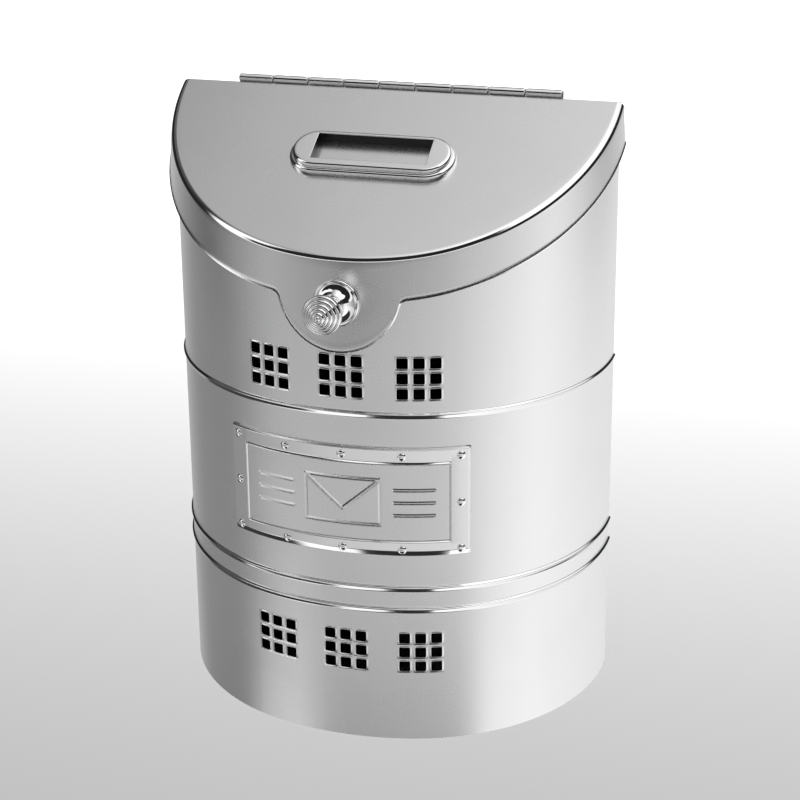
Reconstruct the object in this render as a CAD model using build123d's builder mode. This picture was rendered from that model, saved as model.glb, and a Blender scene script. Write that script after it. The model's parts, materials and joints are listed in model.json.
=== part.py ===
from build123d import *
import os
from math import asin, atan2, cos, degrees, radians, sin

os.makedirs("parts", exist_ok=True)

# Wall mounted half-round mailbox, millimetres. Z is up, the wall is the plane Y = 0 and the front
# faces -Y. The origin is the centre of the four wall screw holes, on the wall plane.

# ---- driving dimensions -------------------------------------------------------------------------
depth = 132.0                # wall to the front of the shell
front_radius = 165.0         # plan radius of the front
front_angle = 14.0           # half angle of the front arc, degrees
side_radius = 125.5          # plan radius from the front arc round to the wall
sheet = 1.0                  # shell, pan and lid sheet
back_sheet = 1.2             # back plate sheet

wall_hole_height = 180.0     # centre of the wall holes above the shell's bottom edge
wall_hole_spacing_x = 160.0
wall_hole_spacing_z = 260.0
wall_hole_radius = 2.75

leaf_sheet = 1.1             # hinge leaves
knuckle_radius = 2.55
knuckle_bore = 1.45
pin_radius = 1.4
knuckle_pitch = 22.5
knuckle_count = 9
knuckle_gap = 0.4
leaf_depth = 22.0            # from the hinge axis to a leaf's free edge
hinge_relief = 3.1           # sheet edges stand this far from the hinge axis

lid_slope = 27.4             # degrees below level, towards the front
pivot_height = 373.3         # hinge axis above the shell's bottom edge
lid_back_gap = 2.75          # lid's back edge in front of the hinge axis
lid_gap = 0.5                # shell's top edge to the underside of the lid
lid_overhang = 2.6           # lid's top edge outside the shell
skirt_flare = 1.6            # the skirt leans out this much over its height
skirt_height = 24.0
lid_bend = 2.2               # outside bend radius round the lid
tab_radius = 35.7
tab_rise = 7.1               # tab's centre above the skirt's bottom edge at the front
tab_fillet = 5.0

bead_heights = (211.0, 101.0, 87.0)
bead_radius = 2.0
bead_proud = 1.4
bead_groove = 1.0

vent_size = 6.4
vent_corner = 0.7
vent_pitch_x = 9.55
vent_pitch_z = 9.35
vent_group_run = 45.3        # distance between group centres, along the sheet
vent_heights = (233.7, 59.0)

plaque_height = 157.0        # plaque's centre above the shell's bottom edge
plaque_half_run = 75.3       # half its width, along the sheet
plaque_half_height = 34.0
window_half_run = 62.7
window_half_height = 24.3
panel_sheet = 0.8
plaque_proud = 2.4           # frame's face in front of the shell
plaque_rivet_runs = (35.0, 69.2)
plaque_rivet_rise = 29.5
plaque_rivet_radius = 1.2
plaque_head_radius = 2.6
plaque_head_height = 1.3
tail_gap = 0.05              # keeps the flat tails clear of the shell's hollow face

envelope_width = 46.0
envelope_height = 30.0
stripe_length = 26.0
stripe_offset = 42.0         # stripes' centre from the middle of the panel
stripe_pitch = 8.0
groove_width = 1.4
groove_depth = 0.45

name_frame_length = 100.0
name_frame_width = 34.5
name_frame_step = 2.2        # the upper step is this much smaller all round
name_frame_height = 6.4
name_frame_base = 3.2
name_frame_round = 1.3
name_frame_place = -64.5     # down the slope from the hinge axis
window_length = 69.5
window_width = 21.4
window_place = -63.4
stud_x = 42.0
stud_radius = 1.5
stud_length = 5.6            # below the lid's top face
nut_across_corners_radius = 3.1
nut_height = 2.4
washer_radius = 3.5
washer_height = 0.5

knob_drop = 25.0             # knob's centre below the lid's front edge
knob_length = 37.0           # tab's face to the crown of the knob
rose_radius = 13.6
rose_rim = 2.2
rose_height = 9.0
neck_radius = 4.6
head_radius = 11.3
head_start = 24.0            # the head leaves the neck here, from the tab's face
head_edge = 27.0
head_rings = 5
crown_radius = 1.8
crown_height = 1.0
screw_radius = 2.0
screw_hole_radius = 2.2
screw_head_radius = 3.6
screw_head_height = 1.5
screw_reach = 20.0

pan_rise = 1.0               # bottom pan above the shell's bottom edge
pan_flange = 12.0
shell_flange = 14.0          # shell's rear flanges, against the back plate
rivet_radius = 1.6
rivet_head_radius = 2.9
rivet_head_height = 1.2
seam_rivet_x = 127.0
seam_rivet_heights = (70.0, 150.0, 230.0, 310.0)
pan_rivet_height = 7.5
hinge_rivet_xs = (-90.0, -45.0, 0.0, 45.0, 90.0)
hinge_rivet_drop = 14.0
drain_radius = 2.5
drain_centre_y = -60.0

# ---- derived places -----------------------------------------------------------------------------
slope = radians(lid_slope)
bottom = -wall_hole_height
pivot_y = -(back_sheet + knuckle_radius)
pivot_z = bottom + pivot_height
front_centre_y = front_radius - depth
joint_run = front_radius * radians(front_angle)
side_centre_x = (front_radius - side_radius) * sin(radians(front_angle))
side_centre_y = front_centre_y - (front_radius - side_radius) * cos(radians(front_angle))
half_width = side_centre_x + side_radius
lid_top = leaf_sheet + sheet - knuckle_radius      # lid's top face from the hinge axis, square to it
lid_back = pivot_y - lid_back_gap
hinge_half = knuckle_count * knuckle_pitch / 2
back_top = pivot_z - hinge_relief - 0.4
spare = 12.0                                       # how far cutting shapes run past the sheet

# The lid's own plane: local X is X, local Y runs up the slope to the wall, local Z is out of the lid.
lid_plane = Plane(origin=(0, pivot_y, pivot_z), x_dir=(1, 0, 0), z_dir=(0, -sin(slope), cos(slope)))
lid_up = Axis(lid_plane.origin, lid_plane.z_dir)


# ---- shared shapes ------------------------------------------------------------------------------
def d_outline(grow, back=0.0):
    """The D-shaped plan on XY, grown outwards by grow and closed by a straight line at Y = back."""
    side_turn = 90 - front_angle + degrees(asin((back - side_centre_y) / (side_radius + grow)))
    with BuildSketch() as outline:
        with BuildLine():
            CenterArc((0, front_centre_y), front_radius + grow, -90 - front_angle, 2 * front_angle)
            right = CenterArc(
                (side_centre_x, side_centre_y), side_radius + grow, -90 + front_angle, side_turn
            )
            left = CenterArc(
                (-side_centre_x, side_centre_y), side_radius + grow, -90 - front_angle, -side_turn
            )
            Line(right @ 1, left @ 1)
        make_face()
    return outline.sketch


def front_plane(run, height, grow=0.0):
    """Plane lying on the curved front: run is the distance along the sheet from the centre line."""
    turn = abs(run) / front_radius
    centre = Vector(0, front_centre_y)
    radius = front_radius
    if abs(run) > joint_run:
        turn = radians(front_angle) + (abs(run) - joint_run) / side_radius
        centre = Vector(side_centre_x if run > 0 else -side_centre_x, side_centre_y)
        radius = side_radius
    angle = turn if run > 0 else -turn
    normal = Vector(sin(angle), -cos(angle))
    place = centre + normal * (radius + grow)
    return Plane(
        origin=(place.X, place.Y, bottom + height),
        x_dir=(cos(angle), sin(angle), 0),
        z_dir=(normal.X, normal.Y, 0),
    )


def curved_patch(half_run, low, high, inner_grow, outer_grow):
    """A sheet patch that follows the front, between two heights and out to half_run each way."""
    edge = front_plane(half_run, 0)
    inside = edge.origin - edge.z_dir * spare
    outside = edge.origin + edge.z_dir * spare
    with BuildPart() as patch:
        with BuildSketch(Plane.XY.offset(bottom + low)):
            add(d_outline(outer_grow))
            add(d_outline(inner_grow), mode=Mode.SUBTRACT)
            with BuildLine():
                Polyline(
                    (inside.X, inside.Y),
                    (outside.X, outside.Y),
                    (0, -depth - front_radius),
                    (-outside.X, outside.Y),
                    (-inside.X, inside.Y),
                    close=True,
                )
            make_face(mode=Mode.INTERSECT)
        extrude(amount=high - low)
    return patch.part


def rivet(radius, grip, head_radius, head_height, tail_radius=0.0, tail_height=0.0):
    """A domed rivet along Z: the dome stands on Z = 0 and the shank runs down through the grip."""
    dome = (head_radius**2 + head_height**2) / (2 * head_height)
    with BuildPart() as fastener:
        with BuildSketch(Plane.XZ):
            with BuildLine():
                ThreePointArc(
                    (0, head_height),
                    (head_radius / 2, head_height - dome + (dome**2 - head_radius**2 / 4) ** 0.5),
                    (head_radius, 0),
                )
                Polyline((head_radius, 0), (radius, 0), (radius, -grip), (0, -grip), (0, head_height))
            make_face()
        revolve(axis=Axis.Z)
        if tail_height:
            with BuildSketch(Plane.XY.offset(-grip)):
                Circle(tail_radius)
            extrude(amount=-tail_height)
    return fastener.part


def wall_grow(drop):
    """How far the lid's skirt stands outside the shell, this far below the lid's top face."""
    return lid_overhang + skirt_flare * drop / skirt_height


def lid_section(drop, inset):
    """Slanted D-shaped section through the skirt, parallel to the lid and drop below its top."""
    with BuildPart() as column:
        with BuildSketch(Plane.XY.offset(bottom)):
            add(d_outline(wall_grow(drop) - inset, back=spare))
        extrude(amount=pivot_height + 100)
    return section(column.part, section_by=lid_plane.offset(lid_top - drop * cos(slope)))


def skirt_front(drop):
    """Point on the skirt's outer face, on the centre line."""
    y = -depth - wall_grow(drop)
    return Vector(0, y, pivot_z + (lid_top + sin(slope) * (y - pivot_y)) / cos(slope) - drop)


def knuckle_spans(own):
    """Start and end along X of each knuckle: own is 0 for the lid's leaf and 1 for the body's."""
    spans = []
    for index in range(own, knuckle_count, 2):
        start = -hinge_half + index * knuckle_pitch
        spans.append((start + knuckle_gap / 2, start + knuckle_pitch - knuckle_gap / 2))
    return spans


def hinge_leaf(leaf_plane, own, hole_xs=(), hole_drop=0.0):
    """A piano hinge leaf: leaf_plane holds the hinge axis as its X and the leaf runs down its -Y."""
    with BuildPart() as leaf:
        with BuildSketch(leaf_plane.offset(-knuckle_radius)):
            with Locations((0, -leaf_depth / 2)):
                Rectangle(2 * hinge_half - knuckle_gap, leaf_depth)
            for start, end in knuckle_spans(1 - own):
                with Locations(((start + end) / 2, 0)):
                    Rectangle(end - start + 2 * knuckle_gap, 2 * hinge_relief, mode=Mode.SUBTRACT)
            for x in hole_xs:
                with Locations((x, -hole_drop)):
                    Circle(rivet_radius, mode=Mode.SUBTRACT)
        extrude(amount=leaf_sheet)
        for start, end in knuckle_spans(own):
            with BuildSketch(Plane.YZ.offset(start)):
                with Locations((pivot_y, pivot_z)):
                    Circle(knuckle_radius)
            extrude(amount=end - start)
        with BuildSketch(Plane.YZ.offset(-hinge_half)):
            with Locations((pivot_y, pivot_z)):
                Circle(knuckle_bore)
        extrude(amount=2 * hinge_half, mode=Mode.SUBTRACT)
    return leaf.part


# ---- body ---------------------------------------------------------------------------------------
def build_front_shell():
    """The curved front sheet: rear flanges, three rolled beads, vents and plaque rivet holes."""
    with BuildPart() as front_shell:
        with BuildSketch(Plane.XY.offset(bottom)):
            add(d_outline(0, back=-back_sheet))
            add(d_outline(-sheet, back=-back_sheet - sheet), mode=Mode.SUBTRACT)
            with Locations((0, -back_sheet)):
                Rectangle(2 * (half_width - shell_flange), 3 * sheet, mode=Mode.SUBTRACT)
        extrude(amount=pivot_height)
        for height in bead_heights:
            curve = d_outline(bead_proud - bead_radius, back=-back_sheet).edges().filter_by(GeomType.CIRCLE)
            path = Wire(curve).moved(Location((0, 0, bottom + height)))
            start = path @ 0
            centre = Vector(side_centre_x if start.X > 0 else -side_centre_x, side_centre_y, start.Z)
            across = Plane(origin=start, x_dir=start - centre, z_dir=path % 0)
            inner_face = -sheet - (bead_proud - bead_radius)
            with BuildSketch(across):
                Circle(bead_radius)
                with Locations((inner_face - bead_radius, 0)):
                    Rectangle(2 * bead_radius, 3 * bead_radius, mode=Mode.SUBTRACT)
            sweep(path=path)
            with BuildSketch(across):
                Circle(bead_groove)
            sweep(path=path, mode=Mode.SUBTRACT)
        for height in vent_heights:
            for run in (-vent_group_run, 0, vent_group_run):
                with BuildSketch(front_plane(run, height)):
                    with GridLocations(vent_pitch_x, vent_pitch_z, 3, 3):
                        RectangleRounded(vent_size, vent_size, vent_corner)
                extrude(amount=spare / 2, both=True, mode=Mode.SUBTRACT)
        for place in plaque_rivet_planes():
            with BuildSketch(place):
                Circle(plaque_rivet_radius)
            extrude(amount=spare / 2, both=True, mode=Mode.SUBTRACT)
        with BuildSketch(Plane.XZ.offset(back_sheet)):
            with Locations(*seam_rivet_places(), *pan_rivet_places()):
                Circle(rivet_radius)
        extrude(amount=sheet, mode=Mode.SUBTRACT)
        with BuildSketch(lid_plane.offset(lid_top - sheet - lid_gap)):
            Rectangle(4 * half_width, 4 * half_width)
        extrude(amount=spare * 10, mode=Mode.SUBTRACT)
        with BuildSketch(Plane.XY.offset(back_top)):
            Rectangle(4 * half_width, 4 * half_width)
        extrude(amount=spare, mode=Mode.SUBTRACT)
        with BuildSketch(Plane.XZ.offset(back_sheet)):
            Rectangle(4 * half_width, 4 * pivot_height)
        extrude(amount=-spare, mode=Mode.SUBTRACT)
    return front_shell.part


def plaque_rivet_planes(grow=0.0):
    """Tangent planes of the twelve plaque rivets: five above, five below and one at each side."""
    inner, outer = plaque_rivet_runs
    places = [(-outer, 0), (outer, 0)]
    for rise in (-plaque_rivet_rise, plaque_rivet_rise):
        places += [(run, rise) for run in (-outer, -inner, 0, inner, outer)]
    return [front_plane(run, plaque_height + rise, grow) for run, rise in places]


def seam_rivet_places():
    """X and Z of the rivets that hold the shell's rear flanges to the back plate."""
    return [(x, bottom + h) for x in (-seam_rivet_x, seam_rivet_x) for h in seam_rivet_heights]


def pan_rivet_places():
    """X and Z of the two rivets that also pass through the bottom pan's flange."""
    return [(x, bottom + pan_rivet_height) for x in (-seam_rivet_x, seam_rivet_x)]


def hinge_rivet_places():
    """X and Z of the rivets that hold the body's hinge leaf to the back plate."""
    return [(x, pivot_z - hinge_rivet_drop) for x in hinge_rivet_xs]


def build_back_plate():
    """Flat sheet against the wall, with the four wall screw holes."""
    with BuildPart() as back_plate:
        with BuildSketch(Plane.XZ):
            with Locations((0, (bottom + back_top) / 2)):
                Rectangle(2 * half_width - 0.4, back_top - bottom)
            with GridLocations(wall_hole_spacing_x, wall_hole_spacing_z, 2, 2):
                Circle(wall_hole_radius, mode=Mode.SUBTRACT)
            with Locations(*seam_rivet_places(), *pan_rivet_places(), *hinge_rivet_places()):
                Circle(rivet_radius, mode=Mode.SUBTRACT)
        extrude(amount=back_sheet)
    return back_plate.part


def build_bottom_pan():
    """D-shaped floor with an upstanding flange and drain holes."""
    rear = -back_sheet - sheet
    with BuildPart() as bottom_pan:
        with BuildSketch(Plane.XY.offset(bottom + pan_rise)):
            add(d_outline(-sheet, back=rear))
        extrude(amount=pan_flange)
        with BuildSketch(Plane.XY.offset(bottom + pan_rise + sheet)):
            add(d_outline(-2 * sheet, back=rear - sheet))
        extrude(amount=pan_flange, mode=Mode.SUBTRACT)
        with BuildSketch(Plane.XY.offset(bottom + pan_rise)):
            with Locations((0, drain_centre_y)):
                with GridLocations(100, 60, 2, 2):
                    Circle(drain_radius)
                Circle(drain_radius)
        extrude(amount=sheet, mode=Mode.SUBTRACT)
        with BuildSketch(Plane.XZ.offset(-rear)):
            with Locations(*pan_rivet_places()):
                Circle(rivet_radius)
        extrude(amount=sheet, mode=Mode.SUBTRACT)
    return bottom_pan.part


def wall_rivets(places, grip):
    """Rivets square to the wall: flush behind the back plate, domed inside the box."""
    body = rivet(rivet_radius, grip, rivet_head_radius, rivet_head_height)
    with BuildPart() as rivets:
        for x, z in places:
            add(Plane(origin=(x, -grip, z), x_dir=(1, 0, 0), z_dir=(0, -1, 0)) * body)
    return rivets.part


def build_hinge_body_leaf():
    """Leaf of the piano hinge that is riveted to the back plate."""
    upright = Plane(origin=(0, pivot_y, pivot_z), x_dir=(1, 0, 0), z_dir=(0, -1, 0))
    return hinge_leaf(upright, 1, hinge_rivet_xs, hinge_rivet_drop)


def build_hinge_pin():
    """Pin through all nine knuckles."""
    with BuildPart() as hinge_pin:
        with BuildSketch(Plane.YZ.offset(-hinge_half)):
            with Locations((pivot_y, pivot_z)):
                Circle(pin_radius)
        extrude(amount=2 * hinge_half)
    return hinge_pin.part


# ---- plaque -------------------------------------------------------------------------------------
def emblem_grooves():
    """A plain envelope between two sets of three stripes, pressed into the panel's face."""
    corner_x = envelope_width / 2 - groove_width
    corner_z = envelope_height / 2 - groove_width
    flap_z = -envelope_height / 8
    middle_z = bottom + plaque_height
    with BuildPart() as stamp:
        with BuildSketch(Plane.XZ.offset(depth - 2 * spare)):
            with Locations((0, middle_z)):
                RectangleRounded(envelope_width, envelope_height, 2 * groove_width)
                RectangleRounded(
                    envelope_width - 2 * groove_width,
                    envelope_height - 2 * groove_width,
                    groove_width,
                    mode=Mode.SUBTRACT,
                )
            for side in (-1, 1):
                with BuildLine():
                    Polyline(
                        (side * corner_x, middle_z + corner_z),
                        (0, middle_z + flap_z),
                        (0, middle_z + flap_z - 1.5 * groove_width),
                        (side * corner_x, middle_z + corner_z - 1.5 * groove_width),
                        close=True,
                    )
                make_face()
                for row in (-1, 0, 1):
                    with Locations((side * stripe_offset, middle_z + row * stripe_pitch)):
                        SlotOverall(stripe_length, 1.6 * groove_width)
        extrude(amount=3 * spare)
        face = curved_patch(plaque_half_run, 0, pivot_height, panel_sheet - groove_depth, 2 * spare)
        add(face, mode=Mode.INTERSECT)
    return stamp.part


def build_plaque_panel():
    """Curved name panel with the pressed envelope emblem."""
    low = plaque_height - plaque_half_height
    high = plaque_height + plaque_half_height
    with BuildPart() as plaque_panel:
        add(curved_patch(plaque_half_run, low, high, 0, panel_sheet))
        add(emblem_grooves(), mode=Mode.SUBTRACT)
        for place in plaque_rivet_planes():
            with BuildSketch(place):
                Circle(plaque_rivet_radius)
            extrude(amount=spare / 2, both=True, mode=Mode.SUBTRACT)
    return plaque_panel.part


def build_plaque_frame():
    """Curved frame over the panel's edge."""
    low = plaque_height - plaque_half_height
    high = plaque_height + plaque_half_height
    window_low = plaque_height - window_half_height
    window_high = plaque_height + window_half_height
    window = curved_patch(window_half_run, window_low, window_high, -sheet, plaque_proud + sheet)
    with BuildPart() as plaque_frame:
        add(curved_patch(plaque_half_run, low, high, panel_sheet, plaque_proud))
        add(window, mode=Mode.SUBTRACT)
        for place in plaque_rivet_planes():
            with BuildSketch(place):
                Circle(plaque_rivet_radius)
            extrude(amount=spare / 2, both=True, mode=Mode.SUBTRACT)
    return plaque_frame.part


def build_plaque_rivets():
    """Twelve domed rivets through frame, panel and shell, with their tails inside the box."""
    grip = plaque_proud + sheet + tail_gap
    tail_height = plaque_head_height / 2
    body = rivet(
        plaque_rivet_radius, grip, plaque_head_radius, plaque_head_height, plaque_head_radius, tail_height
    )
    with BuildPart() as plaque_rivets:
        for place in plaque_rivet_planes(plaque_proud):
            add(place * body)
    return plaque_rivets.part


# ---- lid ----------------------------------------------------------------------------------------
def knob_plane():
    """Plane on the tab's outer face, square to it, where the knob stands."""
    along = skirt_front(knob_drop + 1) - skirt_front(knob_drop - 1)
    lean = atan2(-along.Y, -along.Z)
    return Plane(origin=skirt_front(knob_drop), x_dir=(1, 0, 0), z_dir=(0, -cos(lean), sin(lean)))


def build_lid_core():
    """The space inside the lid."""
    with BuildPart() as lid_core:
        loft([lid_section(sheet / cos(slope), sheet), lid_section(80, sheet)], ruled=True)
        top = lid_core.faces().sort_by(lid_up)[-1]
        fillet(top.edges().filter_by(GeomType.LINE, reverse=True), radius=lid_bend - sheet)
    return lid_core.part


def skirt_edge_height(x):
    """Height of the skirt's lower edge at X, on the front arc."""
    y = front_centre_y - ((front_radius + wall_grow(skirt_height)) ** 2 - x**2) ** 0.5
    return pivot_z + (lid_top + sin(slope) * (y - pivot_y)) / cos(slope) - skirt_height


def build_skirt_trim():
    """Everything below the skirt's edge, apart from the rounded tab at the front."""
    reach = tab_radius + 2 * tab_fillet
    middle = (0, skirt_edge_height(0))
    with BuildPart() as skirt_trim:
        with BuildSketch(lid_plane.offset(lid_top - skirt_height * cos(slope))):
            Rectangle(4 * half_width, 4 * half_width)
        extrude(amount=-2 * half_width)
        with BuildSketch(Plane.XZ.offset(depth / 2)) as kept:
            with BuildLine():
                ThreePointArc((-reach, skirt_edge_height(reach)), middle, (reach, skirt_edge_height(reach)))
                Polyline(
                    (reach, skirt_edge_height(reach)),
                    (reach, middle[1] + 2 * reach),
                    (-reach, middle[1] + 2 * reach),
                    (-reach, skirt_edge_height(reach)),
                )
            make_face()
            with Locations((0, middle[1] + tab_rise)):
                Circle(tab_radius)
            corners = kept.vertices().filter_by(lambda v: tab_radius / 2 < abs(v.X) < tab_radius)
            fillet(corners, radius=tab_fillet)
        extrude(amount=depth, mode=Mode.SUBTRACT)
    return skirt_trim.part


def build_lid_shell():
    """Pressed lid: sloping D-shaped top, bent edge, flared skirt and the knob's tab."""
    with BuildPart() as lid_shell:
        loft([lid_section(0, 0), lid_section(70, 0)], ruled=True)
        top = lid_shell.faces().sort_by(lid_up)[-1]
        fillet(top.edges().filter_by(GeomType.LINE, reverse=True), radius=lid_bend)
        add(build_lid_core(), mode=Mode.SUBTRACT)
        add(build_skirt_trim(), mode=Mode.SUBTRACT)
        with BuildSketch(Plane.XZ.offset(-lid_back)):
            Rectangle(4 * half_width, 8 * half_width)
        extrude(amount=-4 * spare, mode=Mode.SUBTRACT)
        with BuildSketch(lid_plane.offset(lid_top)):
            with Locations((-stud_x, name_frame_place), (stud_x, name_frame_place)):
                Circle(stud_radius)
        extrude(amount=-sheet, mode=Mode.SUBTRACT)
        with BuildSketch(knob_plane()):
            Circle(screw_hole_radius)
        extrude(amount=3 * sheet, both=True, mode=Mode.SUBTRACT)
    return lid_shell.part


def build_hinge_lid_leaf():
    """Leaf of the piano hinge that is spot welded under the lid."""
    return hinge_leaf(lid_plane, 0)


def build_name_frame():
    """Cast oblong frame on the lid with a sunk window for a name card and two studs."""
    upper_length = name_frame_length - 2 * name_frame_step
    upper_width = name_frame_width - 2 * name_frame_step
    with BuildPart() as name_frame:
        with BuildSketch(lid_plane.offset(lid_top)):
            with Locations((0, name_frame_place)):
                SlotOverall(name_frame_length, name_frame_width)
        extrude(amount=name_frame_base)
        fillet(name_frame.faces().sort_by(lid_up)[-1].edges(), radius=name_frame_round)
        with BuildSketch(lid_plane.offset(lid_top)):
            with Locations((0, name_frame_place)):
                SlotOverall(upper_length, upper_width)
        extrude(amount=name_frame_height)
        fillet(name_frame.faces().sort_by(lid_up)[-1].edges(), radius=name_frame_round)
        with BuildSketch(lid_plane.offset(lid_top)):
            with Locations((0, window_place)):
                Rectangle(window_length, window_width)
        extrude(amount=name_frame_height, mode=Mode.SUBTRACT)
        with BuildSketch(lid_plane.offset(lid_top)):
            with Locations((-stud_x, name_frame_place), (stud_x, name_frame_place)):
                Circle(stud_radius)
        extrude(amount=-stud_length)
    return name_frame.part


def build_name_frame_washers():
    """Two washers on the name frame's studs, under the lid."""
    with BuildPart() as name_frame_washers:
        with BuildSketch(lid_plane.offset(lid_top - sheet)):
            with Locations((-stud_x, name_frame_place), (stud_x, name_frame_place)):
                Circle(washer_radius)
                Circle(stud_radius, mode=Mode.SUBTRACT)
        extrude(amount=-washer_height)
    return name_frame_washers.part


def build_name_frame_nuts():
    """Two hexagon nuts on the name frame's studs."""
    with BuildPart() as name_frame_nuts:
        with BuildSketch(lid_plane.offset(lid_top - sheet - washer_height)):
            with Locations((-stud_x, name_frame_place), (stud_x, name_frame_place)):
                RegularPolygon(nut_across_corners_radius, 6)
                Circle(stud_radius, mode=Mode.SUBTRACT)
        extrude(amount=-nut_height)
    return name_frame_nuts.part


# ---- knob ---------------------------------------------------------------------------------------
def turned(lines, arcs):
    """Solid of revolution about the knob's axis, from (radius, distance out of the tab) points."""
    with BuildPart() as body:
        with BuildSketch(Plane.XZ):
            with BuildLine():
                for line in lines:
                    Polyline(*line)
                for start, middle, end in arcs:
                    ThreePointArc(start, middle, end)
            make_face()
        revolve(axis=Axis.Z)
    return knob_plane() * body.part


def build_knob_rose():
    """Dished base of the knob: a rim, then a cove that rises to the neck."""
    rim = (rose_radius - 1.4, rose_rim)
    top = (neck_radius + 0.8, rose_height)
    cove = (top[0] + 0.3 * (rim[0] - top[0]), rim[1] + 0.3 * (top[1] - rim[1]))
    outline = [
        top,
        (screw_hole_radius, rose_height),
        (screw_hole_radius, 0),
        (rose_radius, 0),
        (rose_radius, rose_rim - 0.8),
        (rose_radius - 0.6, rose_rim),
        rim,
    ]
    return turned([outline], [(rim, cove, top)])


def build_knob():
    """Turned knob: neck, flared back and a head of rounded rings that step up to a crown."""
    ring_width = (head_radius - crown_radius) / head_rings
    ring_rise = (knob_length - crown_height - head_edge) / head_rings
    outer = (head_radius, head_edge)
    arcs = []
    for _ in range(head_rings):
        inner = (outer[0] - ring_width, outer[1] + ring_rise)
        arcs.append((outer, (outer[0] - 0.3 * ring_width, outer[1] + 0.8 * ring_rise), inner))
        outer = inner
    crown_ball = (crown_radius**2 + crown_height**2) / (2 * crown_height)
    halfway = asin(crown_radius / crown_ball) / 2
    crown_middle = (crown_ball * sin(halfway), knob_length - crown_ball * (1 - cos(halfway)))
    arcs.append((outer, crown_middle, (0, knob_length)))
    neck_top = (neck_radius, head_start - 5)
    flare_end = (head_radius - 1.0, head_start + 1.0)
    arcs.append((neck_top, (neck_radius + 2.0, head_start - 1.0), flare_end))
    core = [
        (0, knob_length),
        (0, screw_reach),
        (screw_radius, screw_reach),
        (screw_radius, rose_height),
        (neck_radius, rose_height),
        neck_top,
    ]
    edge = [flare_end, (head_radius, head_start + 2.0), (head_radius, head_edge)]
    return turned([core, edge], arcs)


def build_knob_screw():
    """Pan head screw from behind the tab, through tab and rose, into the knob."""
    face = -sheet - washer_height - 0.1
    outline = [
        (0, screw_reach - 1),
        (screw_radius, screw_reach - 1),
        (screw_radius, face),
        (screw_head_radius, face),
        (screw_head_radius, face - screw_head_height),
        (0, face - screw_head_height),
        (0, screw_reach - 1),
    ]
    return turned([outline], [])


def build_knob_washer():
    """Lock washer between the tab and the screw's head."""
    near = -sheet - 0.1
    outline = [
        (screw_hole_radius, near),
        (screw_head_radius + 0.6, near),
        (screw_head_radius + 0.6, near - washer_height),
        (screw_hole_radius, near - washer_height),
        (screw_hole_radius, near),
    ]
    return turned([outline], [])


# ---- export -------------------------------------------------------------------------------------
pieces = {
    "front_shell": build_front_shell(),
    "back_plate": build_back_plate(),
    "bottom_pan": build_bottom_pan(),
    "seam_rivets": wall_rivets(seam_rivet_places(), back_sheet + sheet),
    "pan_rivets": wall_rivets(pan_rivet_places(), back_sheet + 2 * sheet),
    "hinge_body_leaf": build_hinge_body_leaf(),
    "hinge_rivets": wall_rivets(hinge_rivet_places(), back_sheet + leaf_sheet),
    "hinge_pin": build_hinge_pin(),
    "plaque_panel": build_plaque_panel(),
    "plaque_frame": build_plaque_frame(),
    "plaque_rivets": build_plaque_rivets(),
    "lid_shell": build_lid_shell(),
    "hinge_lid_leaf": build_hinge_lid_leaf(),
    "name_frame": build_name_frame(),
    "name_frame_washers": build_name_frame_washers(),
    "name_frame_nuts": build_name_frame_nuts(),
    "knob_rose": build_knob_rose(),
    "knob": build_knob(),
    "knob_screw": build_knob_screw(),
    "knob_washer": build_knob_washer(),
}
for name, piece in pieces.items():
    piece.label = name
    export_step(piece, f"parts/{name}.step")
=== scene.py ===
import bpy
import bmesh
import json
import math
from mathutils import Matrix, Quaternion, Vector


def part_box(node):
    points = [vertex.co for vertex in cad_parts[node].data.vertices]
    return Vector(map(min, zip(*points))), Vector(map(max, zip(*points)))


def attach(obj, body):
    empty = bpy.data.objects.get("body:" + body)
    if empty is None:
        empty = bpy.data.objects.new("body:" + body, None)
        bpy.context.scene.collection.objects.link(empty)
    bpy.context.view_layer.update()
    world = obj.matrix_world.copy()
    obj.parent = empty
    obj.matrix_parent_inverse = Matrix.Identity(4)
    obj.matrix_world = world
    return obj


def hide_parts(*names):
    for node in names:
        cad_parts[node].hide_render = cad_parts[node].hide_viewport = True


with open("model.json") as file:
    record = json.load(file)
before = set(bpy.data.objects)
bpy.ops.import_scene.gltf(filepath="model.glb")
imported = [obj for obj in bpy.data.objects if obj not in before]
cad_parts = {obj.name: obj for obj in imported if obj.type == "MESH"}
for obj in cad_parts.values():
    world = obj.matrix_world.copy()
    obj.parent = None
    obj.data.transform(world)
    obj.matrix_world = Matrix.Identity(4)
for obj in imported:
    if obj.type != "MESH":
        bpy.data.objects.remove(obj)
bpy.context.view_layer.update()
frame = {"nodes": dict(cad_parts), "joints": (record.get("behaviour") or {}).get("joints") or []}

bl_info = {
    "name": "Wall mounted mailbox",
    "version": (1, 0, 0),
    "blender": (4, 5, 0),
    "location": "View3D > Sidebar > Mailbox",
    "description": "Builds the looks of a half-round nickel mailbox around its packed frame",
    "category": "Object",
}

# ---- places that come from the frame ------------------------------------------------------------
PLATE_LOW, PLATE_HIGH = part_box("back_plate")
HINGE = Vector(frame["joints"][0]["pos_m"])
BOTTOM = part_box("front_shell")[0].z
MM = 0.001
BOX_FACES = ((0, 1, 3, 2), (4, 6, 7, 5), (0, 4, 5, 1), (2, 3, 7, 6), (1, 5, 7, 3), (0, 2, 6, 4))


# ---- properties ---------------------------------------------------------------------------------
def length(name, description, default):
    """A length property in metres."""
    return bpy.props.FloatProperty(
        name=name, description=description, default=default, unit="LENGTH", precision=5
    )


def tint(name, description, default):
    """A colour property that holds an sRGB hex value."""
    return bpy.props.StringProperty(name=name, description=description, default=default)


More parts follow.
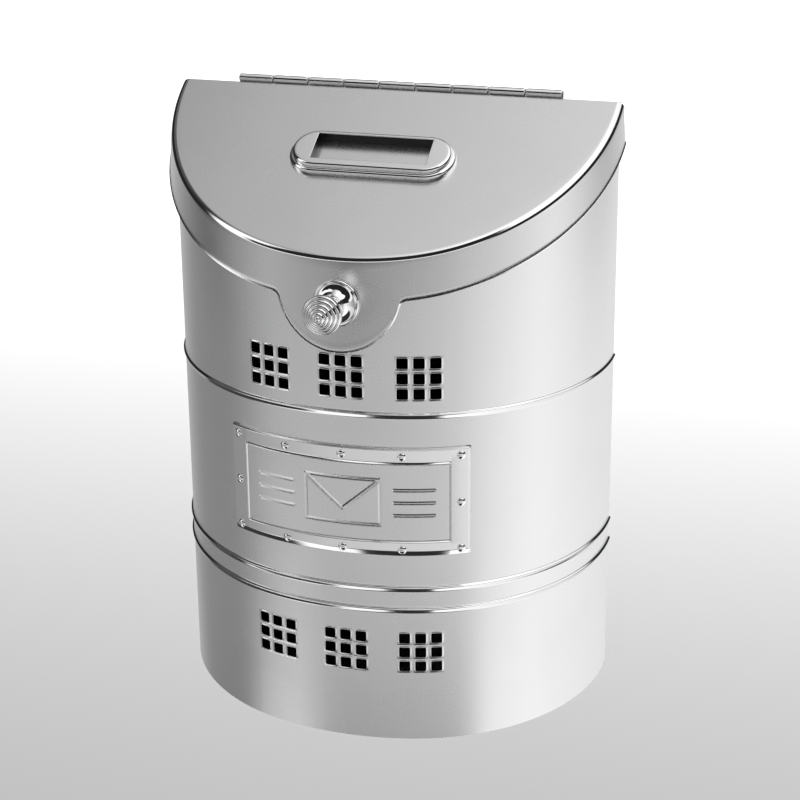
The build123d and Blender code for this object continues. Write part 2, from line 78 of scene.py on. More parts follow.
class MailboxBody(bpy.types.PropertyGroup):
    depth: length("Depth", "Wall to the front of the shell", 0.132)
    front_radius: length("Front radius", "Plan radius of the front", 0.165)
    front_angle: bpy.props.FloatProperty(
        name="Front angle", description="Half angle of the front arc",
        default=math.radians(14.0), subtype="ANGLE",
    )
    side_radius: length("Side radius", "Plan radius round to the wall", 0.1255)
    sheet: length("Sheet", "Shell and lid sheet thickness", 0.001)
    edge_round: length("Edge rounding", "Softening of the sheet's cut edges", 0.0004)
    flange: length("Rear flange", "Width of the flanges against the back plate", 0.014)
    bead_upper: length("Upper bead", "Upper bead above the bottom edge", 0.211)
    bead_middle: length("Middle bead", "Middle bead above the bottom edge", 0.101)
    bead_lower: length("Lower bead", "Lower bead above the bottom edge", 0.087)
    bead_proud: length("Bead height", "How far a bead stands out", 0.0013)
    bead_crest: length("Bead crest", "Crest of a bead above its centre line", 0.0008)
    bead_above: length("Bead above", "Rolled bead's foot above its centre line", 0.0019)
    bead_below: length("Bead below", "Rolled bead's foot below its centre line", 0.0021)
    vent_size: length("Vent size", "Side of one square vent hole", 0.0064)
    vent_corner: length("Vent corner", "Corner radius of a vent hole", 0.0007)
    vent_lip: length("Vent lip", "Height of the punched lip round a vent hole", 0.00035)
    vent_pitch_x: length("Vent pitch across", "Hole to hole across", 0.00955)
    vent_pitch_z: length("Vent pitch up", "Hole to hole up", 0.00935)
    vent_group: length("Vent group spacing", "Group to group along the sheet", 0.0453)
    vent_top: length("Upper vents", "Upper vents above the bottom edge", 0.2337)
    vent_bottom: length("Lower vents", "Lower vents above the bottom edge", 0.059)


class MailboxPlaque(bpy.types.PropertyGroup):
    height: length("Height", "Plaque's centre above the bottom edge", 0.157)
    half_run: length("Half width", "Half the plaque's width along the sheet", 0.0753)
    half_height: length("Half height", "Half the plaque's height", 0.034)
    window_run: length("Window half width", "Half the window's width", 0.0627)
    window_height: length("Window half height", "Half the window's height", 0.0243)
    flank_top: length("Top flank", "Width of the frame's upper flank", 0.0005)
    flank_side: length("Side flank", "Width of the frame's side flanks", 0.0017)
    flank_bottom: length("Bottom flank", "Width of the frame's lower flank", 0.0036)
    step_top: length("Top step", "Width of the slope above the window", 0.0016)
    step_side: length("Side step", "Width of the slopes beside and below the window", 0.0006)
    panel: length("Panel", "Panel thickness", 0.0008)
    raised: length("Raised panel", "Panel's pressed face in front of the shell", 0.0016)
    proud: length("Frame height", "Frame's face in front of the shell", 0.0024)
    edge_round: length("Edge rounding", "Rounding of the frame's edges", 0.0005)
    relief: length("Relief", "Depth of the pressed emblem", 0.00045)
    line: length("Line width", "Width of the emblem's pressed lines", 0.0014)
    emblem_half_width: length("Envelope half width", "Half the envelope's width", 0.0223)
    emblem_half_height: length("Envelope half height", "Half the envelope's height", 0.0143)
    flap_drop: length("Flap point", "Tip of the flap below the centre", 0.0052)
    stripe_pitch: length("Stripe spacing", "Stripe to stripe", 0.008)
    stripe_start: length("Stripe start", "Stripes' near end from the centre", 0.0305)
    stripe_end: length("Stripe end", "Stripes' far end from the centre", 0.0535)
    rivet_rise: length("Rivet rise", "Rivet rows above and below the centre", 0.0295)
    rivet_run: length("Rivet run", "Outer rivets from the centre line", 0.0692)
    rivet_pitch: length("Rivet pitch", "Rivet to rivet along the top and bottom", 0.035)
    rivet_shank: length("Rivet shank", "Radius of a rivet's shank", 0.0012)
    rivet_head: length("Rivet head", "Radius of a rivet's head", 0.0026)
    rivet_dome: length("Rivet dome", "Height of a rivet's head", 0.0013)


class MailboxLid(bpy.types.PropertyGroup):
    slope: bpy.props.FloatProperty(
        name="Slope", description="Fall of the lid towards the front",
        default=math.radians(27.4), subtype="ANGLE",
    )
    top: length("Top face", "Top face from the hinge axis, square to the lid", -0.00045)
    back: length("Back edge", "Lid's back edge in front of the wall", -0.0065)
    overhang: length("Overhang", "Top edge outside the shell", 0.0026)
    flare: length("Flare", "How far the skirt leans out over its height", 0.0016)
    skirt: length("Skirt", "Skirt height", 0.024)
    bend: length("Bend radius", "Outside bend radius round the lid", 0.0044)
    lip: length("Lip", "How far the skirt's lower edge turns out", 0.0007)
    lip_height: length("Lip height", "Height of the turned edge", 0.0008)
    tab_radius: length("Tab radius", "Radius of the knob's tab", 0.0357)
    tab_rise: length("Tab rise", "Tab's centre above the skirt's lower edge", 0.0071)
    tab_fillet: length("Tab fillet", "Radius where the tab meets the skirt", 0.005)


class MailboxFittings(bpy.types.PropertyGroup):
    frame_length: length("Frame length", "Name frame's length", 0.100)
    frame_width: length("Frame width", "Name frame's width", 0.0345)
    frame_step: length("Frame step", "The upper step is this much smaller all round", 0.0022)
    frame_base: length("Frame base", "Height of the lower step", 0.0032)
    frame_height: length("Frame height", "Height of the name frame", 0.0064)
    frame_round: length("Frame rounding", "Rounding of both steps", 0.0020)
    frame_place: length("Frame place", "Down the slope from the hinge axis", -0.0645)
    window_length: length("Window length", "Length of the card window", 0.0695)
    window_width: length("Window width", "Width of the card window", 0.0214)
    window_place: length("Window place", "Window down the slope from the axis", -0.0634)
    window_lip: length("Window lip", "Rounding of the window's upper edge", 0.00035)
    stud_place: length("Stud place", "Studs from the name frame's centre", 0.042)
    stud_radius: length("Stud radius", "Radius of a stud", 0.0015)
    stud_tip: length("Stud tip", "Radius of a stud's end", 0.0011)
    stud_length: length("Stud length", "Length of a stud below the lid's face", 0.0056)
    knob_drop: length("Knob drop", "Knob below the lid's front edge", 0.025)
    knob_length: length("Knob length", "Tab's face to the crown", 0.037)
    rose_radius: length("Rose radius", "Radius of the knob's rose", 0.0136)
    head_radius: length("Head radius", "Radius of the knob's head", 0.0113)
    neck_radius: length("Neck radius", "Radius of the knob's neck", 0.0046)
    head_start: length("Head start", "Tab's face to where the neck widens", 0.024)
    head_edge: length("Head edge", "Tab's face to the first ring", 0.027)
    crown_radius: length("Crown radius", "Radius of the knob's crown", 0.0018)
    crown_height: length("Crown height", "Height of the crown over the last ring", 0.001)
    rose_height: length("Rose height", "Tab's face to the top of the rose", 0.009)
    bore: length("Knob bore", "Radius of the knob's bore", 0.002)
    rose_bore: length("Rose bore", "Radius of the rose's bore", 0.0022)
    knuckle_pitch: length("Knuckle pitch", "Hinge knuckle to knuckle", 0.0225)
    knuckle_radius: length("Knuckle radius", "Radius of the hinge barrel", 0.00255)
    knuckle_gap: length("Knuckle gap", "Gap between two knuckles", 0.0004)
    leaf: length("Leaf", "Thickness of a hinge leaf", 0.0011)
    leaf_relief: length("Leaf relief", "Hinge axis to the solid part of a leaf", 0.0031)
    leaf_reach: length("Leaf reach", "Hinge axis to the far edge of a leaf", 0.022)
    wall_rivet_head: length("Wall rivet head", "Radius of a wall rivet's head", 0.0029)
    wall_rivet_dome: length("Wall rivet dome", "Height of a wall rivet's head", 0.0012)
    wall_rivet_shank: length("Wall rivet shank", "Radius of a wall rivet's shank", 0.0016)
    seam_place: length("Seam rivets", "Seam rivets from the centre line", 0.127)
    hinge_rivet_pitch: length("Hinge rivet pitch", "Hinge rivet to hinge rivet", 0.045)
    hinge_rivet_drop: length("Hinge rivet drop", "Hinge rivets below the axis", 0.014)


class MailboxFinish(bpy.types.PropertyGroup):
    satin: tint("Satin nickel", "Satin nickel plate", "#E8E8E9")
    bright: tint("Bright nickel", "Polished nickel plate", "#EFEFF0")
    steel: tint("Hinge steel", "Nickel plated hinge strip", "#DDDDDE")
    zinc: tint("Zinc", "Zinc plated fixings", "#C4C8CC")
    # Inside: painted shade. The dark grey stands in for the shade inside the shell and in the card
    # window; only the dullness is the unbuffed plating's own.
    inside: tint("Inside", "Unbuffed plating in the shell and window", "#4A4A4C")
    paper: tint("Floor", "Studio floor", "#B4B3B4")
    satin_roughness: bpy.props.FloatProperty(
        name="Satin roughness", description="Roughness of the satin sheet", default=0.27
    )
    bend_roughness: bpy.props.FloatProperty(
        name="Bend roughness", description="Roughness where the sheet is burnished by bending",
        default=0.09,
    )


# ---- shared helpers -----------------------------------------------------------------------------
def linear(code):
    """sRGB hex colour as linear RGBA."""
    values = [int(code[i:i + 2], 16) / 255 for i in (1, 3, 5)]
    return [v / 12.92 if v <= 0.04045 else ((v + 0.055) / 1.055) ** 2.4 for v in values] + [1.0]


def node(tree, kind, settings=None, links=None):
    """Adds a node. Settings are its own attributes; links gives inputs a socket or a value."""
    made = tree.nodes.new(kind)
    for key, value in (settings or {}).items():
        setattr(made, key, value)
    for key, value in (links or {}).items():
        if isinstance(value, bpy.types.NodeSocket):
            tree.links.new(value, made.inputs[key])
        else:
            made.inputs[key].default_value = value
    return made


def table(tree, kind, setting, values, lines):
    """Adds a row of nodes of one kind. Each line gives the result's name, the choice for the
    setting, and the inputs, where a name stands for an earlier result."""
    for name, choice, *inputs in lines:
        made = node(tree, kind, {setting: choice}, {
            place: values.get(value, value) for place, value in enumerate(inputs)
        })
        values[name] = made.outputs[0]


def start_group(name, inputs, result):
    """A node group with its inputs by name and socket type, and one geometry result."""
    tree = bpy.data.node_groups.new(name, "GeometryNodeTree")
    for label, kind in inputs.items():
        tree.interface.new_socket(label, in_out="INPUT", socket_type="NodeSocket" + kind)
    tree.interface.new_socket(result, in_out="OUTPUT", socket_type="NodeSocketGeometry")
    return tree, node(tree, "NodeGroupInput").outputs


def end_group(tree, geometry, material, result):
    """Ends a node group with real geometry in its material."""
    whole = node(tree, "GeometryNodeRealizeInstances", None, {"Geometry": geometry})
    painted = node(tree, "GeometryNodeSetMaterial", None, {
        "Geometry": whole.outputs[0], "Material": material,
    })
    node(tree, "NodeGroupOutput", None, {result: painted.outputs[0]})
    return tree


def join(tree, *parts):
    """Geometry of several sockets as one."""
    both = node(tree, "GeometryNodeJoinGeometry")
    for part in parts:
        tree.links.new(part, both.inputs[0])
    return both.outputs[0]


def run_group(piece, name, tree, given):
    """Puts a node group on a piece, with its inputs set by their identifiers."""
    made = piece.modifiers.new(name, "NODES")
    made.node_group = tree
    for item in tree.interface.items_tree:
        if item.in_out == "INPUT" and item.name in given:
            made[item.identifier] = given[item.name]


def put(name, verts, faces, burnish=None):
    """A mesh object at the origin, with doubles merged and faces turned outwards."""
    mesh = bpy.data.meshes.new(name)
    mesh.from_pydata([tuple(v) for v in verts], [], faces)
    made = bpy.data.objects.new(name, mesh)
    bpy.context.scene.collection.objects.link(made)
    if burnish:
        paint_attribute(made, "burnish", burnish)
    work = bmesh.new()
    work.from_mesh(mesh)
    bmesh.ops.remove_doubles(work, verts=work.verts, dist=1e-6)
    bmesh.ops.dissolve_degenerate(work, dist=1e-7, edges=work.edges)
    bmesh.ops.recalc_face_normals(work, faces=work.faces)
    work.to_mesh(mesh)
    work.free()
    return made


def face_towards(mesh, rank, direction):
    """Turns an open sheet so that its highest ranked face looks towards the direction."""
    work = bmesh.new()
    work.from_mesh(mesh)
    bmesh.ops.recalc_face_normals(work, faces=work.faces)
    if max(work.faces, key=rank).normal.dot(direction) < 0:
        bmesh.ops.reverse_faces(work, faces=work.faces)
    work.to_mesh(mesh)
    work.free()


def add_boxes(name, boxes):
    """One piece of plain boxes, each from its eight corners."""
    verts, faces = [], []
    for corners in boxes:
        faces += [tuple(len(verts) + i for i in face) for face in BOX_FACES]
        verts += corners
    return put(name, verts, faces)


def smooth(piece):
    """Shades every face smooth."""
    piece.data.polygons.foreach_set("use_smooth", [True] * len(piece.data.polygons))


def evaluated_mesh(piece):
    """A plain mesh of the piece with its modifiers applied, which are then removed."""
    bpy.context.view_layer.update()
    evaluated = piece.evaluated_get(bpy.context.evaluated_depsgraph_get())
    mesh = bpy.data.meshes.new_from_object(evaluated)
    piece.modifiers.clear()
    piece.data = mesh
    return mesh


def modify(piece, kind, **settings):
    """Adds a modifier with its settings."""
    made = piece.modifiers.new(kind.title(), kind)
    for key, value in settings.items():
        setattr(made, key, value)
    return made


def settle(piece, material, body, slot, *nodes):
    """Turns the evaluated piece into a plain smooth mesh, and gives it its body and finish."""
    mesh = evaluated_mesh(piece)
    if slot == "bright_nickel" and "burnish" not in mesh.attributes:
        paint_attribute(piece, "burnish", [1.0] * len(mesh.vertices))
    # Faces in the inside finish, the dark grey painted shade, keep it in a second slot.
    inside = finishes()["inside"]
    inner = [mesh.materials[p.material_index] == inside if mesh.materials else False
             for p in mesh.polygons]
    mesh.materials.clear()
    mesh.materials.append(material)
    if any(inner):
        mesh.materials.append(inside)
    for polygon, index in zip(mesh.polygons, inner):
        polygon.use_smooth = True
        polygon.material_index = int(index)
    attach(piece, body)
    if nodes:
        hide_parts(*nodes)
    return piece


def soften(piece, width, segments=3, angle=50):
    """Rounds the cut edges and lets the large faces keep their own normals."""
    modify(piece, "BEVEL", width=width, segments=segments, limit_method="ANGLE",
           angle_limit=math.radians(angle), profile=0.5)
    smooth(piece)
    modify(piece, "WEIGHTED_NORMAL", weight=50, keep_sharp=False)


def span(start, end, pitch):
    """Evenly spaced values from start to end, at most pitch apart."""
    count = max(1, math.ceil(abs(end - start) / pitch))
    return [start + (end - start) * i / count for i in range(count + 1)]


def merged(*lists):
    """Sorted values without near doubles."""
    values = []
    for value in sorted(v for group in lists for v in group):
        if not values or value - values[-1] > 0.02 * MM:
            values.append(value)
    return values


def plan(run, grow=0.0):
    """Point on the half-round plan and its outward direction, run metres along the sheet."""
    body = bpy.context.scene.mailbox_body
    joint = body.front_radius * body.front_angle
    offset = body.front_radius - body.side_radius
    beyond = max(abs(run) - joint, 0)
    turn = min(abs(run), joint) / body.front_radius + beyond / body.side_radius
    x, y, radius = 0.0, body.front_radius - body.depth, body.front_radius
    if beyond:
        x = offset * math.sin(body.front_angle)
        y -= offset * math.cos(body.front_angle)
        radius = body.side_radius
    side = -1 if run < 0 else 1
    out = Vector((side * math.sin(turn), -math.cos(turn), 0))
    return Vector((side * x, y, 0)) + out * (radius + grow), out


def run_to(back):
    """Run at which the plan meets the plane Y = back."""
    body = bpy.context.scene.mailbox_body
    offset = body.front_radius - body.side_radius
    y = body.front_radius - body.depth - offset * math.cos(body.front_angle)
    turn = math.acos((y - back) / body.side_radius)
    return body.front_radius * body.front_angle + body.side_radius * (turn - body.front_angle)


def wrap_group():
    """Node group that wraps a flat sheet, X along it and -Y out of it, round the plan."""
    if "wrap_round_plan" in bpy.data.node_groups:
        return bpy.data.node_groups["wrap_round_plan"]
    tree, given = start_group("wrap_round_plan", {
        "Sheet": "Geometry", "Front radius": "Float", "Front angle": "Float",
        "Side radius": "Float", "Depth": "Float", "Material": "Material",
    }, "Sheet")
    place = node(tree, "ShaderNodeSeparateXYZ", None, {
        0: node(tree, "GeometryNodeInputPosition").outputs[0],
    }).outputs
    values = {
        "run": place[0], "in": place[1], "radius": given["Front radius"],
        "angle": given["Front angle"], "side": given["Side radius"], "depth": given["Depth"],
    }
    table(tree, "ShaderNodeMath", "operation", values, (
        ("far", "ABSOLUTE", "run"),
        ("sign", "SIGN", "run"),
        ("joint", "MULTIPLY", "radius", "angle"),
        ("past", "GREATER_THAN", "far", "joint"),
        ("within", "MINIMUM", "far", "joint"),
        ("excess", "SUBTRACT", "far", "within"),
        ("turn_a", "DIVIDE", "within", "radius"),
        ("turn_b", "DIVIDE", "excess", "side"),
        ("turn", "ADD", "turn_a", "turn_b"),
        ("offset", "SUBTRACT", "radius", "side"),
        ("lift", "MULTIPLY", "offset", "past"),
        ("sin_angle", "SINE", "angle"),
        ("cos_angle", "COSINE", "angle"),
        ("centre_x", "MULTIPLY", "lift", "sin_angle"),
        ("centre_drop", "MULTIPLY", "lift", "cos_angle"),
        ("centre_front", "SUBTRACT", "radius", "depth"),
        ("centre_y", "SUBTRACT", "centre_front", "centre_drop"),
        ("arc", "SUBTRACT", "radius", "lift"),
        ("reach", "SUBTRACT", "arc", "in"),
        ("sin_turn", "SINE", "turn"),
        ("cos_turn", "COSINE", "turn"),
        ("out_x", "MULTIPLY", "reach", "sin_turn"),
        ("out_y", "MULTIPLY", "reach", "cos_turn"),
        ("half_x", "ADD", "centre_x", "out_x"),
        ("x", "MULTIPLY", "half_x", "sign"),
        ("y", "SUBTRACT", "centre_y", "out_y"),
    ))
    wrapped = node(tree, "ShaderNodeCombineXYZ", None, {
        "X": values["x"], "Y": values["y"], "Z": place[2],
    })
    moved = node(tree, "GeometryNodeSetPosition", None, {
        "Geometry": given["Sheet"], "Position": wrapped.outputs[0],
    })
    return end_group(tree, moved.outputs[0], given["Material"], "Sheet")


def wrap(piece, material):
    """Wraps a flat piece round the plan with the node group."""
    body = bpy.context.scene.mailbox_body
    run_group(piece, "Wrap", wrap_group(), {
        "Front radius": body.front_radius, "Front angle": body.front_angle,
        "Side radius": body.side_radius, "Depth": body.depth, "Material": material,
    })


def paint_attribute(piece, name, values):
    """Stores one number for each vertex."""
    made = piece.data.attributes.new(name, "FLOAT", "POINT")
    made.data.foreach_set("value", values)


# ---- materials ----------------------------------------------------------------------------------
def nickel(name, colour, roughness, burnished, grain_height):
    """Plate on steel sheet, glossier where the burnish attribute says it was bent or rubbed."""
    if name in bpy.data.materials:
        return bpy.data.materials[name]
    made = bpy.data.materials.new(name)
    made.use_nodes = True
    tree = made.node_tree
    tree.nodes.clear()
    place = node(tree, "ShaderNodeTexCoord").outputs["Object"]
    # The plating's cloudiness varies over about 45 mm. The blasted grain is about 0.8 mm apart,
    # coarser than the real 0.1 mm so that it shows.
    cloud = node(tree, "ShaderNodeTexNoise", None, {
        "Vector": place, "Scale": 22.0, "Detail": 3.0, "Roughness": 0.5,
    })
    along = node(tree, "ShaderNodeMapping", None, {
        "Vector": place, "Scale": (1200.0, 1200.0, 1400.0),
    })
    grain = node(tree, "ShaderNodeTexNoise", None, {
        "Vector": along.outputs[0], "Scale": 1.0, "Detail": 4.0, "Roughness": 0.6,
    })
    bend = node(tree, "ShaderNodeAttribute", {"attribute_name": "burnish"}).outputs["Fac"]
    values = {"cloud": cloud.outputs["Fac"], "grain": grain.outputs["Fac"], "bend": bend}
    table(tree, "ShaderNodeMath", "operation", values, (
        ("cloud_part", "MULTIPLY", "cloud", 0.10),
        ("grain_part", "MULTIPLY", "grain", 0.03),
        ("rough", "ADD", "cloud_part", "grain_part"),
        ("satin", "ADD", "rough", roughness - 0.065),
        ("keep", "SUBTRACT", 1.0, "bend"),
        ("satin_part", "MULTIPLY", "satin", "keep"),
        ("bend_part", "MULTIPLY", "bend", burnished),
        ("roughness", "ADD", "satin_part", "bend_part"),
        ("strength", "MULTIPLY", "keep", 0.05),
    ))
    shade = node(tree, "ShaderNodeValToRGB", None, {"Fac": cloud.outputs["Fac"]})
    shade.color_ramp.elements[0].position = 0.3
    shade.color_ramp.elements[1].position = 0.7
    base = linear(colour)
    shade.color_ramp.elements[0].color = [c * 0.95 for c in base[:3]] + [1]
    shade.color_ramp.elements[1].color = base
    bump = node(tree, "ShaderNodeBump", None, {
        "Strength": values["strength"], "Distance": grain_height, "Height": grain.outputs["Fac"],
    })
    shader = node(tree, "ShaderNodeBsdfPrincipled", None, {
        "Base Color": shade.outputs[0], "Metallic": 1.0, "Roughness": values["roughness"],
        "Normal": bump.outputs[0],
    })
    node(tree, "ShaderNodeOutputMaterial", None, {"Surface": shader.outputs[0]})
    return made


def finishes():
    """The object's finishes by name."""
    finish = bpy.context.scene.mailbox_finish
    return {
        # Satin nickel sheet: wide soft reflections, and crisp bright lines where it is bent.
        "satin": nickel("satin_nickel_sheet", finish.satin, finish.satin_roughness,
                        finish.bend_roughness, 0.000012),
        # Polished nickel castings and turnings: nearly a mirror, with strong black and white.
        "bright": nickel("bright_nickel_plate", finish.bright, 0.2, 0.05, 0.000006),
        # Plated hinge strip: satin leaves, with polished streaks along its knuckles.
        "steel": nickel("plated_hinge_strip", finish.steel, 0.24, 0.07, 0.00001),
        # Zinc plated fixings: a duller, slightly blue grey.
        "zinc": nickel("zinc_plated_fixings", finish.zinc, 0.38, 0.2, 0.00001),
        # Painted shade: dull plating with a dark grey colour that stands in for the shade inside
        # the box and the card window, so that the vents and the card window read as holes.
        "inside": nickel("painted_shade_nickel_inside", finish.inside, 0.5, 0.4, 0.00002),
    }


# ---- body ---------------------------------------------------------------------------------------
def bead_rise(level):
    """How far a rolled bead stands out at this level from its centre line, easier below it."""
    body = bpy.context.scene.mailbox_body
    away = level - body.bead_crest
    if away > 0:
        share = min(1, away / (body.bead_above - body.bead_crest))
        return body.bead_proud * (1 + math.cos(math.pi * share)) / 2
    share = min(1, -away / (body.bead_below + body.bead_crest))
    ease = 0.15
    edge = min(share, 1 - share)
    ramp = edge**2 / (2 * ease) if edge < ease else edge - ease / 2
    ramp /= 1 - ease
    return body.bead_proud * (1 - (ramp if share < 0.5 else 1 - ramp))


def bead_heights():
    """Heights of the three beads above the bottom edge."""
    body = bpy.context.scene.mailbox_body
    return body.bead_upper, body.bead_middle, body.bead_lower


def shell_rise(height):
    """How far the shell's face stands out at this height, from all its beads."""
    return max(bead_rise(height - bead) for bead in bead_heights())


def shell_top(run):
    """Height of the shell's top edge above its bottom edge, under the sloping lid."""
    body, lid = bpy.context.scene.mailbox_body, bpy.context.scene.mailbox_lid
    under = lid.top - body.sheet - 0.5 * MM
    y = plan(run)[0].y
    sloping = HINGE.z + (under + math.sin(lid.slope) * (y - HINGE.y)) / math.cos(lid.slope)
    return min(sloping, PLATE_HIGH.z) - BOTTOM


def vent_cell(body):
    """Flat cell of the vent grid: a square of sheet round one rounded square hole."""
    half_x, half_z = body.vent_pitch_x / 2, body.vent_pitch_z / 2
    quarters = [[(-1, -1), (-0.5, -1), (0, -1), (0.5, -1)]]
    rims = ((0.85 * MM, 0), (0.45 * MM, body.vent_lip), (0.1 * MM, body.vent_lip), (0, 0))
    for wider, _ in rims:
        half, corner = body.vent_size / 2 + wider, body.vent_corner + wider
        nook = half - corner * (1 - math.sqrt(0.5))
        flat = half - corner
        quarters.append([(-nook, -nook), (-flat, -half), (0, -half), (flat, -half)])
    loops = []
    for quarter in quarters:
        loop = []
        for turn in range(4):
            for u, v in quarter:
                for _ in range(turn):
                    u, v = -v, u
                loop.append((u, v))
        loops.append(loop)
    loops = [[(u * half_x, 0, v * half_z) for u, v in loops[0]]] + [
        [(u, -proud, v) for u, v in loop] for loop, (_, proud) in zip(loops[1:], rims)
    ]
    return rings_mesh(loops)


def vent_grid_group(cell):
    """Node group that sets vent cells into the flat sheet, in groups of three by three."""
    tree, given = start_group("vent_grids", {
        "Sheet": "Geometry", "Pitch across": "Float", "Pitch up": "Float",
        "Group spacing": "Float", "Upper height": "Float", "Lower height": "Float",
        "Material": "Material",
    }, "Sheet")
    values = {"x": given["Pitch across"], "z": given["Pitch up"], "group": given["Group spacing"],
              "upper": given["Upper height"], "lower": given["Lower height"]}
    table(tree, "ShaderNodeMath", "operation", values, (
        ("wide", "MULTIPLY", "x", 2.0), ("tall", "MULTIPLY", "z", 2.0),
        ("groups", "MULTIPLY", "group", 2.0), ("apart", "SUBTRACT", "upper", "lower"),
        ("sum", "ADD", "upper", "lower"), ("middle", "MULTIPLY", "sum", 0.5),
    ))
    cells = node(tree, "GeometryNodeMeshGrid", None, {
        "Size X": values["wide"], "Size Y": values["tall"], "Vertices X": 3, "Vertices Y": 3,
    })
    places = node(tree, "GeometryNodeMeshGrid", None, {
        "Size X": values["groups"], "Size Y": values["apart"], "Vertices X": 3, "Vertices Y": 2,
    })
    grids = node(tree, "GeometryNodeInstanceOnPoints", None, {
        "Points": places.outputs["Mesh"], "Instance": cells.outputs["Mesh"],
    })
    spread = node(tree, "GeometryNodeRealizeInstances", None, {"Geometry": grids.outputs[0]})
    centre = node(tree, "ShaderNodeCombineXYZ", None, {"Z": values["middle"]})
    upright = node(tree, "GeometryNodeTransform", None, {
        "Geometry": spread.outputs[0], "Translation": centre.outputs[0],
        "Rotation": (math.radians(90), 0, 0),
    })
    pattern = node(tree, "GeometryNodeObjectInfo", None, {"Object": cell})
    vents = node(tree, "GeometryNodeInstanceOnPoints", None, {
        "Points": upright.outputs[0], "Instance": pattern.outputs["Geometry"],
    })
    whole = node(tree, "GeometryNodeRealizeInstances", None, {
        "Geometry": join(tree, given["Sheet"], vents.outputs[0]),
    })
    closed = node(tree, "GeometryNodeMergeByDistance", None, {
        "Geometry": whole.outputs[0], "Distance": 0.00002,
    })
    return end_group(tree, closed.outputs[0], given["Material"], "Sheet")


class MAILBOX_OT_shell(bpy.types.Operator):
    """Curved front sheet with its beads, vent grids and rear flanges"""

    bl_idname = "mailbox.shell"
    bl_label = "Front shell"

    def execute(self, context):
        body = context.scene.mailbox_body
        end = run_to(PLATE_LOW.y)
        half_group = 1.5 * body.vent_pitch_x
        columns = [span(-end, end, 3.5 * MM)]
        holes = []
        for middle in (-body.vent_group, 0, body.vent_group):
            low, high = middle - half_group, middle + half_group
            columns[0] = [c for c in columns[0] if not low - 1 * MM < c < high + 1 * MM]
            columns.append([low + i * body.vent_pitch_x / 4 for i in range(13)])
            holes.append((low, high))
        columns = merged(*columns)
        rows, bands = [span(0, 0.255, 9 * MM)], []
        for height in (body.vent_bottom, body.vent_top):
            low = height - 1.5 * body.vent_pitch_z
            high = height + 1.5 * body.vent_pitch_z
            rows[0] = [r for r in rows[0] if not low - 1 * MM < r < high + 1 * MM]
            rows.append([low + i * body.vent_pitch_z / 4 for i in range(13)])
            bands.append((low, high))
        for bead in bead_heights():
            rows[0] = [r for r in rows[0] if abs(r - bead) > 3 * MM]
            rows.append([bead + i * 0.2 * MM for i in range(-13, 14)])
        rows = merged(*rows)
        last = rows[-1]
        upper = [i / 8 for i in range(1, 9)]
        verts, faces = [], []
        for run in columns:
            top = shell_top(run)
            for row in rows + [last + (top - last) * share for share in upper]:
                verts.append((run, -shell_rise(row), BOTTOM + row))
        count = len(rows) + len(upper)
        for i in range(len(columns) - 1):
            middle = (columns[i] + columns[i + 1]) / 2
            vented = any(low < middle < high for low, high in holes)
            for j in range(count - 1):
                if vented and j < len(rows) - 1:
                    level = (rows[j] + rows[j + 1]) / 2
                    if any(low < level < high for low, high in bands):
                        continue
                a = i * count + j
                faces.append((a, a + count, a + count + 1, a + 1))
        sheet = put("front_shell_sheet", verts, faces)
        cell = put("vent_cell", *vent_cell(body))
        hole = body.vent_size / 2 + 0.1 * MM
        paint_attribute(cell, "burnish", [
            1.0 if v.co.y < -0.1 * MM or abs(v.co.x) < hole and abs(v.co.z) < hole else 0.0
            for v in cell.data.vertices
        ])
        run_group(sheet, "Vents", vent_grid_group(cell), {
            "Pitch across": body.vent_pitch_x, "Pitch up": body.vent_pitch_z,
            "Group spacing": body.vent_group, "Upper height": BOTTOM + body.vent_top,
            "Lower height": BOTTOM + body.vent_bottom, "Material": finishes()["satin"],
        })
        flat = evaluated_mesh(sheet)
        flat.materials.clear()
        bpy.data.objects.remove(cell)
        face_towards(flat, lambda f: f.calc_area(), Vector((0, -1, 0)))
        for vertex, rim in zip(flat.vertices, flat.attributes["burnish"].data):
            level = min(abs(vertex.co.z - BOTTOM - bead) for bead in bead_heights())
            rim.value = max(rim.value, min(1.0, (2.5 * MM - level) / (0.5 * MM)))
        wrap(sheet, finishes()["satin"])
        # The sheet's inner face gets the inside finish: painted shade, a dark grey so that the
        # vents look black.
        for finish in ("satin", "inside"):
            flat.materials.append(finishes()[finish])
        modify(sheet, "SOLIDIFY", thickness=body.sheet, offset=-1, use_even_offset=True,
               material_offset=1)
        soften(sheet, body.edge_round, 2)
        settle(sheet, finishes()["satin"], "box", "satin_nickel", "front_shell")
        self.flanges(body)
        return {"FINISHED"}

    def flanges(self, body):
        """Strips that turn in behind the shell and lie against the back plate."""
        side_x = plan(run_to(PLATE_LOW.y))[0].x
        strips = add_boxes("shell_flanges", [
            [(side * x, y, z) for x in (side_x - body.sheet, side_x - body.flange)
             for y in (PLATE_LOW.y, PLATE_LOW.y - body.sheet) for z in (BOTTOM, PLATE_HIGH.z)]
            for side in (-1, 1)
        ])
        soften(strips, body.edge_round, 2)
        settle(strips, finishes()["satin"], "box", "satin_nickel")


